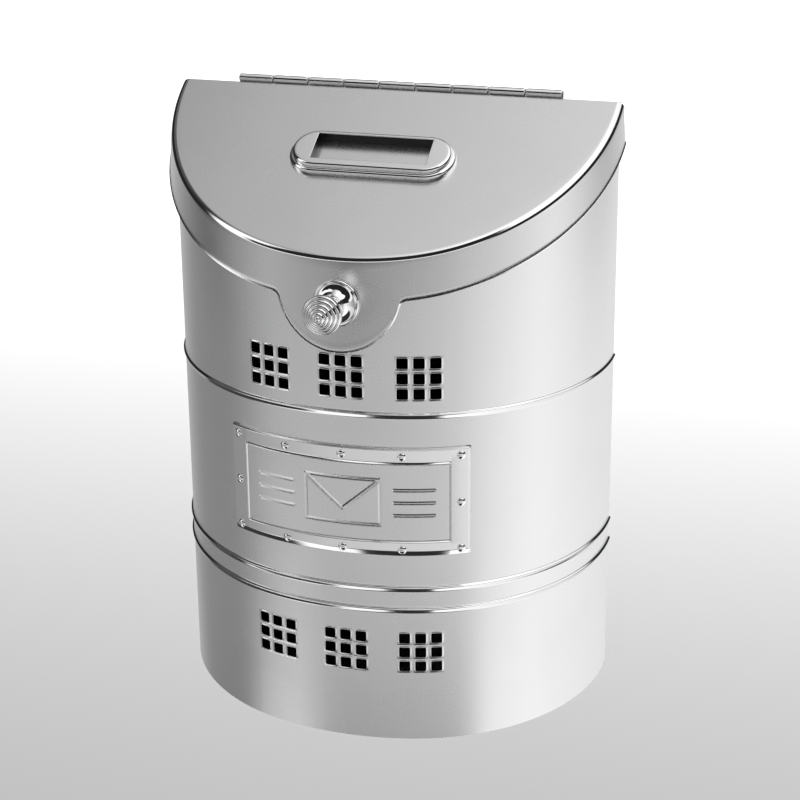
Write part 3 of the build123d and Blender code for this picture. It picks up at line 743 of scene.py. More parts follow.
# ---- plaque -------------------------------------------------------------------------------------
def slab(name, columns, rows, face, back, hole=None):
    """Flat plate from a grid: face(x, z) gives its front, back its rear, hole a cut window."""
    verts, faces = [], []
    count = len(rows)
    size = len(columns) * count
    for depth in (face, lambda x, z: back):
        for x in columns:
            verts += [(x, -depth(x, z), z) for z in rows]
    kept = set()
    for i in range(len(columns) - 1):
        for j in range(count - 1):
            x, z = (columns[i] + columns[i + 1]) / 2, (rows[j] + rows[j + 1]) / 2
            if hole and abs(x) < hole[0] and abs(z - hole[2]) < hole[1]:
                continue
            kept.add((i, j))
    for i, j in kept:
        a = i * count + j
        loop = (a, a + count, a + count + 1, a + 1)
        faces.append(loop)
        faces.append(tuple(size + v for v in reversed(loop)))
        for (di, dj), (p, q) in (((0, -1), (0, 1)), ((1, 0), (1, 2)),
                                 ((0, 1), (2, 3)), ((-1, 0), (3, 0))):
            if (i + di, j + dj) not in kept:
                faces.append((loop[q], loop[p], size + loop[p], size + loop[q]))
    return put(name, verts, faces)


def line_depth(x, z, line, ends):
    """1 inside a pressed line between two points and 0 outside, with soft edges."""
    (ax, az), (bx, bz) = ends
    dx, dz = bx - ax, bz - az
    share = max(0.0, min(1.0, ((x - ax) * dx + (z - az) * dz) / (dx * dx + dz * dz)))
    away = math.hypot(x - ax - share * dx, z - az - share * dz)
    return max(0.0, min(1.0, (line / 2 + 0.2 * MM - away) / (0.4 * MM)))


def emblem_lines():
    """Plain envelope between two sets of three stripes, from the middle of the panel."""
    plaque = bpy.context.scene.mailbox_plaque
    half_x, half_z = plaque.emblem_half_width, plaque.emblem_half_height
    tip = (0, -plaque.flap_drop)
    box = [(-half_x, -half_z), (half_x, -half_z), (half_x, half_z), (-half_x, half_z)]
    lines = [(box[i], box[(i + 1) % 4]) for i in range(4)]
    lines += [(box[3], tip), (box[2], tip)]
    for side in (-1, 1):
        for row in (-1, 0, 1):
            level = row * plaque.stripe_pitch
            lines.append(((side * plaque.stripe_start, level), (side * plaque.stripe_end, level)))
    return lines


class MAILBOX_OT_plaque(bpy.types.Operator):
    """Curved plaque: panel with a pressed envelope, frame and domed rivets"""

    bl_idname = "mailbox.plaque"
    bl_label = "Plaque"

    def execute(self, context):
        plaque = context.scene.mailbox_plaque
        middle = BOTTOM + plaque.height
        lines = emblem_lines()

        def pressed(x, z):
            if (abs(x) > plaque.window_run - 0.3 * MM
                    or abs(z - middle) > plaque.window_height - 0.3 * MM):
                return plaque.panel
            deepest = max(line_depth(x, z - middle, plaque.line, ends) for ends in lines)
            return plaque.raised - plaque.relief * deepest

        def framed(x, z):
            rise = z - middle
            below = rise < 0
            foot = plaque.flank_bottom if below else plaque.flank_top
            slope = plaque.step_side if below else plaque.step_top
            level = min((plaque.half_run - abs(x)) / plaque.flank_side,
                        (plaque.half_height - abs(rise)) / foot)
            inner = max((abs(x) - plaque.window_run) / plaque.step_side,
                        (abs(rise) - plaque.window_height) / slope)
            low = plaque.raised - 0.1 * MM
            return min(plaque.panel + (plaque.proud - plaque.panel) * min(1, max(0, level)),
                       low + (plaque.proud - low) * min(1, max(0, inner)))

        edges = [plaque.half_run, 0.069, 0.066, plaque.window_run - 0.05 * MM]
        edges += [plaque.window_run - step * MM for step in (0.25, 0.35, 0.6, 0.9, 1.2)]
        columns = merged([-e for e in edges], edges, span(-0.0595, 0.0595, 3 * MM),
                         span(-0.056, -0.028, 0.5 * MM), span(-0.0245, 0.0245, 0.4 * MM),
                         span(0.028, 0.056, 0.5 * MM))
        edges = [plaque.half_height, 0.030, plaque.window_height - 0.05 * MM]
        edges += [plaque.window_height - step * MM for step in (0.25, 0.35, 0.6, 0.9, 1.2)]
        rows = merged([middle + e for e in edges], [middle - e for e in edges],
                      span(middle - 0.017, middle + 0.017, 0.4 * MM))
        panel = slab("plaque_panel_pressed", columns, rows, pressed, 0.02 * MM)
        wrap(panel, finishes()["satin"])
        settle(panel, finishes()["satin"], "box", "satin_nickel", "plaque_panel")

        breaks = [plaque.half_run, plaque.half_run - plaque.flank_side,
                  plaque.window_run + plaque.step_side, plaque.window_run]
        inside = plaque.window_run - 1 * MM
        columns = merged(breaks, [-b for b in breaks], span(-inside, inside, 3 * MM))
        rows = sorted([
            middle + plaque.half_height, middle + plaque.half_height - plaque.flank_top,
            middle + plaque.window_height + plaque.step_top, middle + plaque.window_height,
            middle - plaque.window_height, middle - plaque.window_height - plaque.step_side,
            middle - plaque.half_height + plaque.flank_bottom, middle - plaque.half_height,
        ])
        hole = (plaque.window_run, plaque.window_height, middle)
        frame_piece = slab("plaque_frame_rounded", columns, rows, framed, plaque.panel, hole)
        wrap(frame_piece, finishes()["satin"])
        soften(frame_piece, plaque.edge_round, 3, 15)
        evaluated = settle(frame_piece, finishes()["satin"], "box", "satin_nickel", "plaque_frame")
        side = plan(plaque.half_run - plaque.flank_side)[0].x - 0.4 * MM
        window = plan(plaque.window_run + plaque.step_side)[0].x + 0.5 * MM
        burnish = []
        for vertex in evaluated.data.vertices:
            x, rise = abs(vertex.co.x), vertex.co.z - middle
            inside = x < side and (-plaque.half_height + plaque.flank_bottom + 0.4 * MM < rise
                                   < plaque.half_height - plaque.flank_top - 0.3 * MM)
            clear = (x > window or rise > plaque.window_height + plaque.step_top + 0.4 * MM
                     or rise < -plaque.window_height - plaque.step_side - 0.4 * MM)
            burnish.append(0.0 if inside and clear else 1.0)
        paint_attribute(evaluated, "burnish", burnish)

        places = [(run, 0) for run in (-plaque.rivet_run, plaque.rivet_run)]
        for rise in (-plaque.rivet_rise, plaque.rivet_rise):
            places += [(run, rise) for run in (-plaque.rivet_run, -plaque.rivet_pitch, 0,
                                               plaque.rivet_pitch, plaque.rivet_run)]
        points = []
        for run, rise in places:
            place, out = plan(run, plaque.proud)
            points.append((Vector((place.x, place.y, middle + rise)), out))
        grip = plaque.proud + context.scene.mailbox_body.sheet + 0.2 * MM
        rivets("plaque_rivets_domed", points, plaque.rivet_head, plaque.rivet_dome,
               plaque.rivet_shank, grip, finishes()["bright"], "box", "bright_nickel",
               "plaque_rivets")
        return {"FINISHED"}


# ---- rivets -------------------------------------------------------------------------------------
def rivet_group():
    """Node group that stands a domed rivet on every point, along the direction stored there."""
    if "domed_rivets" in bpy.data.node_groups:
        return bpy.data.node_groups["domed_rivets"]
    tree, given = start_group("domed_rivets", {
        "Places": "Geometry", "Head radius": "Float", "Head height": "Float",
        "Shank radius": "Float", "Grip": "Float", "Material": "Material",
    }, "Rivets")
    ball = node(tree, "GeometryNodeMeshUVSphere", None, {
        "Segments": 24, "Rings": 16, "Radius": 1.0,
    })
    place = node(tree, "ShaderNodeSeparateXYZ", None, {
        0: node(tree, "GeometryNodeInputPosition").outputs[0],
    }).outputs
    values = {"x": place[0], "y": place[1], "z": place[2], "head": given["Head radius"],
              "dome": given["Head height"], "shank": given["Shank radius"], "grip": given["Grip"]}
    # The ball's upper half is the dome. Its lower half is drawn down into a straight shank.
    table(tree, "ShaderNodeMath", "operation", values, (
        ("xx", "MULTIPLY", "x", "x"), ("yy", "MULTIPLY", "y", "y"),
        ("rr", "ADD", "xx", "yy"), ("r", "SQRT", "rr"),
        ("below", "LESS_THAN", "z", -0.01),
        ("ratio", "DIVIDE", "shank", "head"),
        ("slim", "MINIMUM", "r", "ratio"),
        ("change", "SUBTRACT", "slim", "r"), ("shift", "MULTIPLY", "change", "below"),
        ("radius", "ADD", "r", "shift"), ("safe", "MAXIMUM", "r", 0.0001),
        ("scale", "DIVIDE", "radius", "safe"), ("size", "MULTIPLY", "scale", "head"),
        ("px", "MULTIPLY", "x", "size"), ("py", "MULTIPLY", "y", "size"),
        ("longer", "SUBTRACT", "grip", "dome"), ("more", "MULTIPLY", "longer", "below"),
        ("height", "ADD", "dome", "more"), ("pz", "MULTIPLY", "z", "height"),
    ))
    formed = node(tree, "GeometryNodeSetPosition", None, {
        "Geometry": ball.outputs["Mesh"],
        "Position": node(tree, "ShaderNodeCombineXYZ", None, {
            "X": values["px"], "Y": values["py"], "Z": values["pz"],
        }).outputs[0],
    })
    out = node(tree, "GeometryNodeInputNamedAttribute", {"data_type": "FLOAT_VECTOR"}, {
        "Name": "out",
    })
    turned = node(tree, "FunctionNodeAlignRotationToVector", {"axis": "Z"}, {
        "Vector": out.outputs[0],
    })
    set_in = node(tree, "GeometryNodeInstanceOnPoints", None, {
        "Points": given["Places"], "Instance": formed.outputs[0], "Rotation": turned.outputs[0],
    })
    return end_group(tree, set_in.outputs[0], given["Material"], "Rivets")


def rivets(name, points, head, dome, shank, grip, material, body, slot, *nodes):
    """One piece of like rivets at (place, direction) points."""
    piece = put(name, [place for place, _ in points], [])
    made = piece.data.attributes.new("out", "FLOAT_VECTOR", "POINT")
    for i, vertex in enumerate(piece.data.vertices):
        nearest = min(points, key=lambda p: (p[0] - vertex.co).length)
        made.data[i].vector = nearest[1]
    run_group(piece, "Rivets", rivet_group(), {
        "Head radius": head, "Head height": dome, "Shank radius": shank, "Grip": grip,
        "Material": material,
    })
    return settle(piece, material, body, slot, *nodes)


class MAILBOX_OT_wall_rivets(bpy.types.Operator):
    """Rivets that hold the shell, the bottom pan and the hinge to the back plate"""

    bl_idname = "mailbox.wall_rivets"
    bl_label = "Wall rivets"

    def execute(self, context):
        sheet = context.scene.mailbox_body.sheet
        fit = context.scene.mailbox_fittings
        inward = Vector((0, -1, 0))
        plate = PLATE_HIGH.y - PLATE_LOW.y
        sides = (-fit.seam_place, fit.seam_place)
        along_hinge = [i * fit.hinge_rivet_pitch for i in (-2, -1, 0, 1, 2)]
        groups = (
            ("seam_rivets", sides, (0.070, 0.150, 0.230, 0.310), plate + sheet),
            ("pan_rivets", sides, (0.0075,), plate + 2 * sheet),
            ("hinge_rivets", along_hinge, (HINGE.z - BOTTOM - fit.hinge_rivet_drop,),
             plate + fit.leaf),
        )
        for name, xs, heights, grip in groups:
            points = [(Vector((x, -grip, BOTTOM + z)), inward) for x in xs for z in heights]
            rivets(name + "_domed", points, fit.wall_rivet_head, fit.wall_rivet_dome,
                   fit.wall_rivet_shank, grip, finishes()["zinc"], "box", "zinc_fixings", name)
        return {"FINISHED"}


# ---- lid ----------------------------------------------------------------------------------------
def lid_vectors():
    """The lid's outward normal and its direction up the slope to the wall."""
    slope = bpy.context.scene.mailbox_lid.slope
    rise, run = math.sin(slope), math.cos(slope)
    return Vector((0, -rise, run)), Vector((0, run, rise))


def lid_place(x, up, out):
    """Point on the lid: across, up the slope from the hinge axis, and out of its top face."""
    normal, along = lid_vectors()
    lid = bpy.context.scene.mailbox_lid
    return HINGE + Vector((x, 0, 0)) + along * up + normal * (lid.top + out)


def plane_height(y):
    """Height of the lid's top plane at Y."""
    lid = bpy.context.scene.mailbox_lid
    return HINGE.z + (lid.top + math.sin(lid.slope) * (y - HINGE.y)) / math.cos(lid.slope)


def skirt_point(run, drop, lip=0.0):
    """Point on the skirt's outer face, drop below the lid's top plane."""
    lid = bpy.context.scene.mailbox_lid
    place, out = plan(run, lid.overhang + lid.flare * drop / lid.skirt + lip)
    return Vector((place.x, place.y, plane_height(place.y) - drop)), out


def skirt_drop(run):
    """How far the skirt reaches below the top plane: longer at the tab, with rounded corners."""
    lid = bpy.context.scene.mailbox_lid
    edge, _ = skirt_point(run, lid.skirt)
    middle = skirt_point(0, lid.skirt)[0].z + lid.tab_rise
    x = abs(edge.x)
    if x > lid.tab_radius + lid.tab_fillet:
        return lid.skirt
    rise = middle - (edge.z - lid.tab_fillet)
    reach = math.sqrt((lid.tab_radius + lid.tab_fillet) ** 2 - rise**2)
    meet = reach * lid.tab_radius / (lid.tab_radius + lid.tab_fillet)
    if x >= reach:
        return lid.skirt
    if x > meet:
        level = edge.z - lid.tab_fillet + math.sqrt(max(lid.tab_fillet**2 - (reach - x) ** 2, 0))
    else:
        level = middle - math.sqrt(lid.tab_radius**2 - x**2)
    return lid.skirt + max(edge.z - level, 0)


class MAILBOX_OT_lid(bpy.types.Operator):
    """Pressed lid: flat sloping top, burnished bend, flared skirt and the knob's tab"""

    bl_idname = "mailbox.lid"
    bl_label = "Lid"

    def execute(self, context):
        body, lid = context.scene.mailbox_body, context.scene.mailbox_lid
        normal, _ = lid_vectors()
        end = run_to(lid.back)
        near, far = lid.tab_radius - 5.7 * MM, lid.tab_radius + 5.3 * MM
        runs = merged(span(-end, end, 3 * MM), span(-far, -near, 0.5 * MM),
                      span(near, far, 0.5 * MM))
        tops, bends, walls = 8, 10, 12
        verts, faces, burnish = [], [], []
        for run in runs:
            corner, out = skirt_point(run, 0)
            lean = Vector((out.x, out.y, lid.flare / lid.skirt)).normalized()
            centre = corner - (normal + lean) * (lid.bend / (1 + normal.dot(lean)))
            crest = centre + normal * lid.bend
            flat_back = Vector((crest.x, lid.back, plane_height(lid.back)))
            for i in range(tops):
                verts.append(flat_back.lerp(crest, i / tops))
                burnish.append(0.0)
            angle = normal.angle(lean)
            for i in range(bends + 1):
                share = i / bends
                direction = normal.slerp(lean, share) if angle > 0.001 else normal
                verts.append(centre + direction * lid.bend)
                burnish.append(1.0 if 0 < i < bends else 0.5)
            start = verts[-1]
            begin = plane_height(start.y) - start.z
            finish = skirt_drop(run)
            for i in range(1, walls):
                drop = begin + (finish - begin - lid.lip_height) * i / (walls - 1)
                verts.append(skirt_point(run, drop)[0])
                burnish.append(0.0)
            verts.append(skirt_point(run, finish, lid.lip)[0])
            burnish.append(0.6)
        count = tops + bends + 1 + walls
        for i in range(len(runs) - 1):
            for j in range(count - 1):
                a = i * count + j
                faces.append((a, a + count, a + count + 1, a + 1))
        piece = put("lid_pressed", verts, faces, burnish)
        face_towards(piece.data, lambda f: f.calc_center_median().z, Vector((0, 0, 1)))
        modify(piece, "SOLIDIFY", thickness=body.sheet, offset=-1, use_even_offset=True)
        soften(piece, body.edge_round, 2)
        settle(piece, finishes()["satin"], "lid", "satin_nickel", "lid_shell")
        return {"FINISHED"}


# ---- name frame ---------------------------------------------------------------------------------
def oblong(length_, width, count):
    """Outline of a round-ended oblong, as (across, up) from its centre, evenly by direction."""
    radius = width / 2
    flat = length_ / 2 - radius
    points = []
    for i in range(count):
        angle = 2 * math.pi * i / count
        c, s = math.cos(angle), math.sin(angle)
        share = abs(c) ** 0.55 * (1 if c >= 0 else -1)
        x_line = length_ / 2 * share
        if abs(x_line) <= flat:
            points.append((x_line, radius if s >= 0 else -radius))
        else:
            over = min(1.0, (abs(x_line) - flat) / radius)
            y = radius * math.sqrt(max(0.0, 1 - over * over))
            points.append((x_line, y if s >= 0 else -y))
    return points


def rectangle(length_, width, count):
    """Outline of a rectangle with the same point order as oblong."""
    points = []
    for i in range(count):
        angle = 2 * math.pi * i / count
        c, s = math.cos(angle), math.sin(angle)
        share = abs(c) ** 0.55 * (1 if c >= 0 else -1)
        x = length_ / 2 * max(-1, min(1, share * 1.35))
        if abs(share) * 1.35 >= 1:
            y = width / 2 * max(-1, min(1, s / math.sqrt(1 - (1 / 1.35) ** (2 / 0.55))))
        else:
            y = width / 2 * (1 if s >= 0 else -1)
        points.append((x, y))
    return points


def rings_mesh(loops, closed_end=False):
    """Faces between successive closed loops of the same number of points."""
    verts = [p for loop in loops for p in loop]
    count = len(loops[0])
    faces = []
    for k in range(len(loops) - 1):
        for i in range(count):
            j = (i + 1) % count
            faces.append((k * count + i, k * count + j, (k + 1) * count + j, (k + 1) * count + i))
    if closed_end:
        faces.append(tuple(range(count)))
        faces.append(tuple((len(loops) - 1) * count + i for i in reversed(range(count))))
    return verts, faces


class MAILBOX_OT_name_frame(bpy.types.Operator):
    """Two-step oblong frame on the lid round a sunk card window, with its two studs"""

    bl_idname = "mailbox.name_frame"
    bl_label = "Name frame"

    def execute(self, context):
        fit = context.scene.mailbox_fittings
        count = 160
        loops = []

        def outer(inset, level):
            shape = oblong(fit.frame_length - 2 * inset, fit.frame_width - 2 * inset, count)
            return [lid_place(x, fit.frame_place + y, level) for x, y in shape]

        def window(grow, level):
            shape = rectangle(fit.window_length + 2 * grow, fit.window_width + 2 * grow, count)
            return [lid_place(x, fit.window_place + y, level) for x, y in shape]

        turns = [math.radians(a) for a in (0, 15, 30, 45, 60, 75, 90)]
        loops.append(outer(0, 0))
        for base, inset in ((fit.frame_base, 0), (fit.frame_height, fit.frame_step)):
            for a in turns:
                loops.append(outer(inset + fit.frame_round * (1 - math.cos(a)),
                                   base - fit.frame_round * (1 - math.sin(a))))
            if not inset:
                loops.append(outer(fit.frame_step, base))
        loops.append(outer(fit.frame_step + fit.frame_round + 1.2 * MM, fit.frame_height))
        lip = fit.window_lip
        for a in reversed(turns[::2]):
            loops.append(window(lip * (1 - math.cos(a)),
                                fit.frame_height - lip * (1 - math.sin(a))))
        loops.append(window(0, 0))
        loops.append(loops[0])
        piece = put("name_frame_cast", *rings_mesh(loops))
        normal, along = lid_vectors()
        # The card window's floor and walls get the inside finish: painted shade in the sunk window.
        for finish in ("bright", "inside"):
            piece.data.materials.append(finishes()[finish])
        for polygon in piece.data.polygons:
            place = polygon.center - lid_place(0, fit.window_place, 0)
            polygon.material_index = int(
                abs(place.x) < fit.window_length / 2 + 0.1 * MM
                and abs(place.dot(along)) < fit.window_width / 2 + 0.1 * MM
                and place.dot(normal) < fit.frame_height - 0.4 * MM
            )
        paint_attribute(piece, "burnish", [
            0.0 if (v.co - lid_place(0, 0, 0)).dot(normal) > fit.frame_height - 0.05 * MM else 1.0
            for v in piece.data.vertices
        ])
        smooth(piece)
        piece.data.set_sharp_from_angle(angle=math.radians(35))
        modify(piece, "WEIGHTED_NORMAL", weight=50, keep_sharp=True)
        settle(piece, finishes()["bright"], "lid", "bright_nickel", "name_frame")
        self.studs(fit)
        return {"FINISHED"}

    def studs(self, fit):
        """Two plain studs below the frame, through the lid to their nuts."""
        rings = ((0, fit.stud_radius), (0.3 * MM - fit.stud_length, fit.stud_radius),
                 (-fit.stud_length, fit.stud_tip))
        verts, faces = [], []
        for side in (-1, 1):
            loops = [[
                lid_place(side * fit.stud_place + radius * math.cos(a),
                          fit.frame_place + radius * math.sin(a), level)
                for a in [2 * math.pi * i / 24 for i in range(24)]
            ] for level, radius in rings]
            ring_verts, ring_faces = rings_mesh(loops, True)
            faces += [tuple(len(verts) + i for i in face) for face in ring_faces]
            verts += ring_verts
        piece = put("name_frame_studs", verts, faces)
        soften(piece, 0.1 * MM, 2, 40)
        settle(piece, finishes()["zinc"], "lid", "zinc_fixings")


# ---- knob ---------------------------------------------------------------------------------------
def knob_place():
    """Centre of the knob on the tab's face, its axis, and two directions across it."""
    fit = bpy.context.scene.mailbox_fittings
    place, _ = skirt_point(0, fit.knob_drop)
    along = skirt_point(0, fit.knob_drop - MM)[0] - skirt_point(0, fit.knob_drop + MM)[0]
    axis = Vector((0, -along.z, along.y)).normalized()
    across = Vector((1, 0, 0))
    return place, axis, across, axis.cross(across)


def turned(name, profile, count=96):
    """Surface of revolution on the knob's axis from (radius, distance out of the tab) points."""
    place, axis, across, up = knob_place()
    loops = []
    for radius, out in profile:
        loops.append([
            place + axis * out + (across * math.cos(a) + up * math.sin(a)) * max(radius, 1e-7)
            for a in [2 * math.pi * i / count for i in range(count)]
        ])
    return put(name, *rings_mesh(loops))


def arc(start, bulge, end, count):
    """Points from start to end on the arc whose middle is pushed aside by bulge."""
    a, b = Vector(start), Vector(end)
    chord = b - a
    side = Vector((chord.y, -chord.x)).normalized()
    points = []
    radius = (chord.length**2 / 4 + bulge**2) / (2 * abs(bulge))
    for i in range(count + 1):
        t = i / count * 2 - 1
        along = t * chord.length / 2
        depth = math.sqrt(max(radius**2 - along**2, 0)) - (radius - abs(bulge))
        points.append((a + b) / 2 + chord.normalized() * along + side * math.copysign(depth, bulge))
    return [tuple(p) for p in points]


class MAILBOX_OT_knob(bpy.types.Operator):
    """Turned knob with a ringed head on a short neck, and its dished rose"""

    bl_idname = "mailbox.knob"
    bl_label = "Knob and rose"

    def execute(self, context):
        fit = context.scene.mailbox_fittings
        rings = 5
        crown, edge, top = fit.crown_radius, fit.head_edge, fit.rose_height
        width = (fit.head_radius - crown) / rings
        rise = (fit.knob_length - fit.crown_height - edge) / rings
        neck = (fit.neck_radius, fit.head_start - 5 * MM)
        under = (fit.head_radius - 1 * MM, fit.head_start + 1 * MM)
        rim = (fit.head_radius, fit.head_start + 2 * MM)
        profile = [(fit.bore, top), (fit.neck_radius, top), neck]
        profile += arc(neck, 0.9 * MM, under, 10)[1:]
        profile += arc(under, 0.25 * MM, rim, 5)[1:]
        profile += [(fit.head_radius, edge - 0.3 * MM)]
        radius, out = fit.head_radius, edge
        for _ in range(rings):
            profile += arc((radius - 0.05 * MM, out), 0.75 * MM,
                           (radius - width + 0.05 * MM, out + rise), 9)
            profile.append((radius - width, out + rise - 0.12 * MM))
            radius, out = radius - width, out + rise
        profile += arc((crown, fit.knob_length - fit.crown_height), 0.35 * MM,
                       (0, fit.knob_length), 6)
        piece = turned("knob_turned", profile)
        settle(piece, finishes()["bright"], "lid", "bright_nickel", "knob")

        rim = fit.rose_radius
        cove = arc((rim - 1.6 * MM, 2.2 * MM), -1.5 * MM,
                   (fit.neck_radius + 0.9 * MM, top - 0.6 * MM), 14)
        profile = [(fit.rose_bore, 0), (rim - 0.3 * MM, 0), (rim, 0.4 * MM), (rim, 1.3 * MM)]
        profile += arc((rim, 1.3 * MM), 0.35 * MM, (rim - 1.2 * MM, 2.4 * MM), 6)[1:]
        profile += cove + [
            (fit.neck_radius + 0.7 * MM, top - 0.2 * MM), (fit.neck_radius + 0.2 * MM, top),
            (fit.rose_bore, top), (fit.rose_bore, 0),
        ]
        rose = turned("knob_rose_dished", profile)
        settle(rose, finishes()["bright"], "lid", "bright_nickel", "knob_rose")
        return {"FINISHED"}


# ---- hinge --------------------------------------------------------------------------------------
def knuckle_group():
    """Node group that makes a row of rolled knuckles on the hinge axis, every second place."""
    if "rolled_knuckles" in bpy.data.node_groups:
        return bpy.data.node_groups["rolled_knuckles"]
    tree, given = start_group("rolled_knuckles", {
        "Leaf": "Geometry", "Pitch": "Float", "Gap": "Float", "Radius": "Float",
        "First place": "Float", "Count": "Int", "Axis": "Vector", "Material": "Material",
    }, "Leaf")
    values = {"pitch": given["Pitch"], "gap": given["Gap"]}
    table(tree, "ShaderNodeMath", "operation", values, (
        ("length", "SUBTRACT", "pitch", "gap"), ("stride", "MULTIPLY", "pitch", 2.0),
    ))
    tube = node(tree, "GeometryNodeMeshCylinder", {"fill_type": "NGON"}, {
        "Vertices": 32, "Side Segments": 24, "Radius": given["Radius"], "Depth": values["length"],
    })
    # The two end rings are drawn in a little, as rolled ends are.
    end = node(tree, "ShaderNodeSeparateXYZ", None, {
        0: node(tree, "GeometryNodeInputPosition").outputs[0],
    }).outputs
    values |= {"x": end[0], "y": end[1], "z": end[2]}
    table(tree, "ShaderNodeMath", "operation", values, (
        ("away", "ABSOLUTE", "z"), ("limit", "MULTIPLY", "length", 0.49),
        ("last", "GREATER_THAN", "away", "limit"), ("less", "MULTIPLY", "last", -0.1),
        ("scale", "ADD", "less", 1.0), ("sx", "MULTIPLY", "x", "scale"),
        ("sy", "MULTIPLY", "y", "scale"),
    ))
    eased = node(tree, "GeometryNodeSetPosition", None, {
        "Geometry": tube.outputs["Mesh"],
        "Position": node(tree, "ShaderNodeCombineXYZ", None, {
            "X": values["sx"], "Y": values["sy"], "Z": values["z"],
        }).outputs[0],
    })
    row = node(tree, "GeometryNodeMeshLine", None, {
        "Count": given["Count"],
        "Start Location": node(tree, "ShaderNodeCombineXYZ", None, {
            "X": given["First place"],
        }).outputs[0],
        "Offset": node(tree, "ShaderNodeCombineXYZ", None, {"X": values["stride"]}).outputs[0],
    })
    placed = node(tree, "GeometryNodeInstanceOnPoints", None, {
        "Points": row.outputs[0], "Instance": eased.outputs[0],
        "Rotation": (0, math.radians(90), 0),
    })
    moved = node(tree, "GeometryNodeTransform", None, {
        "Geometry": placed.outputs[0], "Translation": given["Axis"],
    })
    both = join(tree, given["Leaf"], moved.outputs[0])
    return end_group(tree, both, given["Material"], "Leaf")


def leaf_plate(name, own, down, out):
    """Comb-edged hinge leaf: down runs away from the axis, out is its outer side."""
    fit = bpy.context.scene.mailbox_fittings
    half = 4.5 * fit.knuckle_pitch
    length_ = fit.knuckle_pitch - fit.knuckle_gap
    end = half - fit.knuckle_gap / 2
    spans = [(-end, end, fit.leaf_relief, fit.leaf_reach)]
    for index in range(own, 9, 2):
        start = -half + index * fit.knuckle_pitch + fit.knuckle_gap / 2
        spans.append((start, start + length_, 0, fit.leaf_relief))
    return add_boxes(name, [
        [HINGE + Vector((x, 0, 0)) + down * v + out * w for x in (low, high) for v in (near, far)
         for w in (-fit.knuckle_radius, -fit.knuckle_radius + fit.leaf)]
        for low, high, near, far in spans
    ])


class MAILBOX_OT_hinge(bpy.types.Operator):
    """Piano hinge: a leaf and its rolled knuckles for the box and for the lid"""

    bl_idname = "mailbox.hinge"
    bl_label = "Piano hinge"

    def execute(self, context):
        fit = context.scene.mailbox_fittings
        normal, along = lid_vectors()
        steel = finishes()["steel"]
        sides = (
            ("hinge_body_leaf", 1, Vector((0, 0, -1)), Vector((0, -1, 0)), "box", 4),
            ("hinge_lid_leaf", 0, -along, normal, "lid", 5),
        )
        for name, own, down, out, body, count in sides:
            piece = leaf_plate(name + "_rolled", own, down, out)
            smooth(piece)
            run_group(piece, "Knuckles", knuckle_group(), {
                "Pitch": fit.knuckle_pitch, "Gap": fit.knuckle_gap, "Radius": fit.knuckle_radius,
                "First place": (own - 4) * fit.knuckle_pitch, "Count": count, "Axis": tuple(HINGE),
                "Material": steel,
            })
            modify(piece, "WEIGHTED_NORMAL", weight=60, keep_sharp=False)
            settle(piece, steel, body, "hinge_steel", name)
            # One leaf is polished and the other is satin, so that the knuckles alternate.
            paint_attribute(piece, "burnish", [float(own)] * len(piece.data.vertices))
        return {"FINISHED"}


# ---- carried parts ------------------------------------------------------------------------------
class MAILBOX_OT_carried(bpy.types.Operator):
    """Gives the flat and hidden parts that keep their own shape their real finish"""

    bl_idname = "mailbox.carried"
    bl_label = "Carried parts"

    def execute(self, context):
        finish = finishes()
        kinds = {
            "back_plate": "satin", "bottom_pan": "satin", "hinge_pin": "steel",
            "name_frame_washers": "zinc", "name_frame_nuts": "zinc", "knob_screw": "zinc",
            "knob_washer": "zinc",
        }
        for name, kind in kinds.items():
            part = frame["nodes"][name]
            part.data.materials.clear()
            part.data.materials.append(finish[kind])
        return {"FINISHED"}


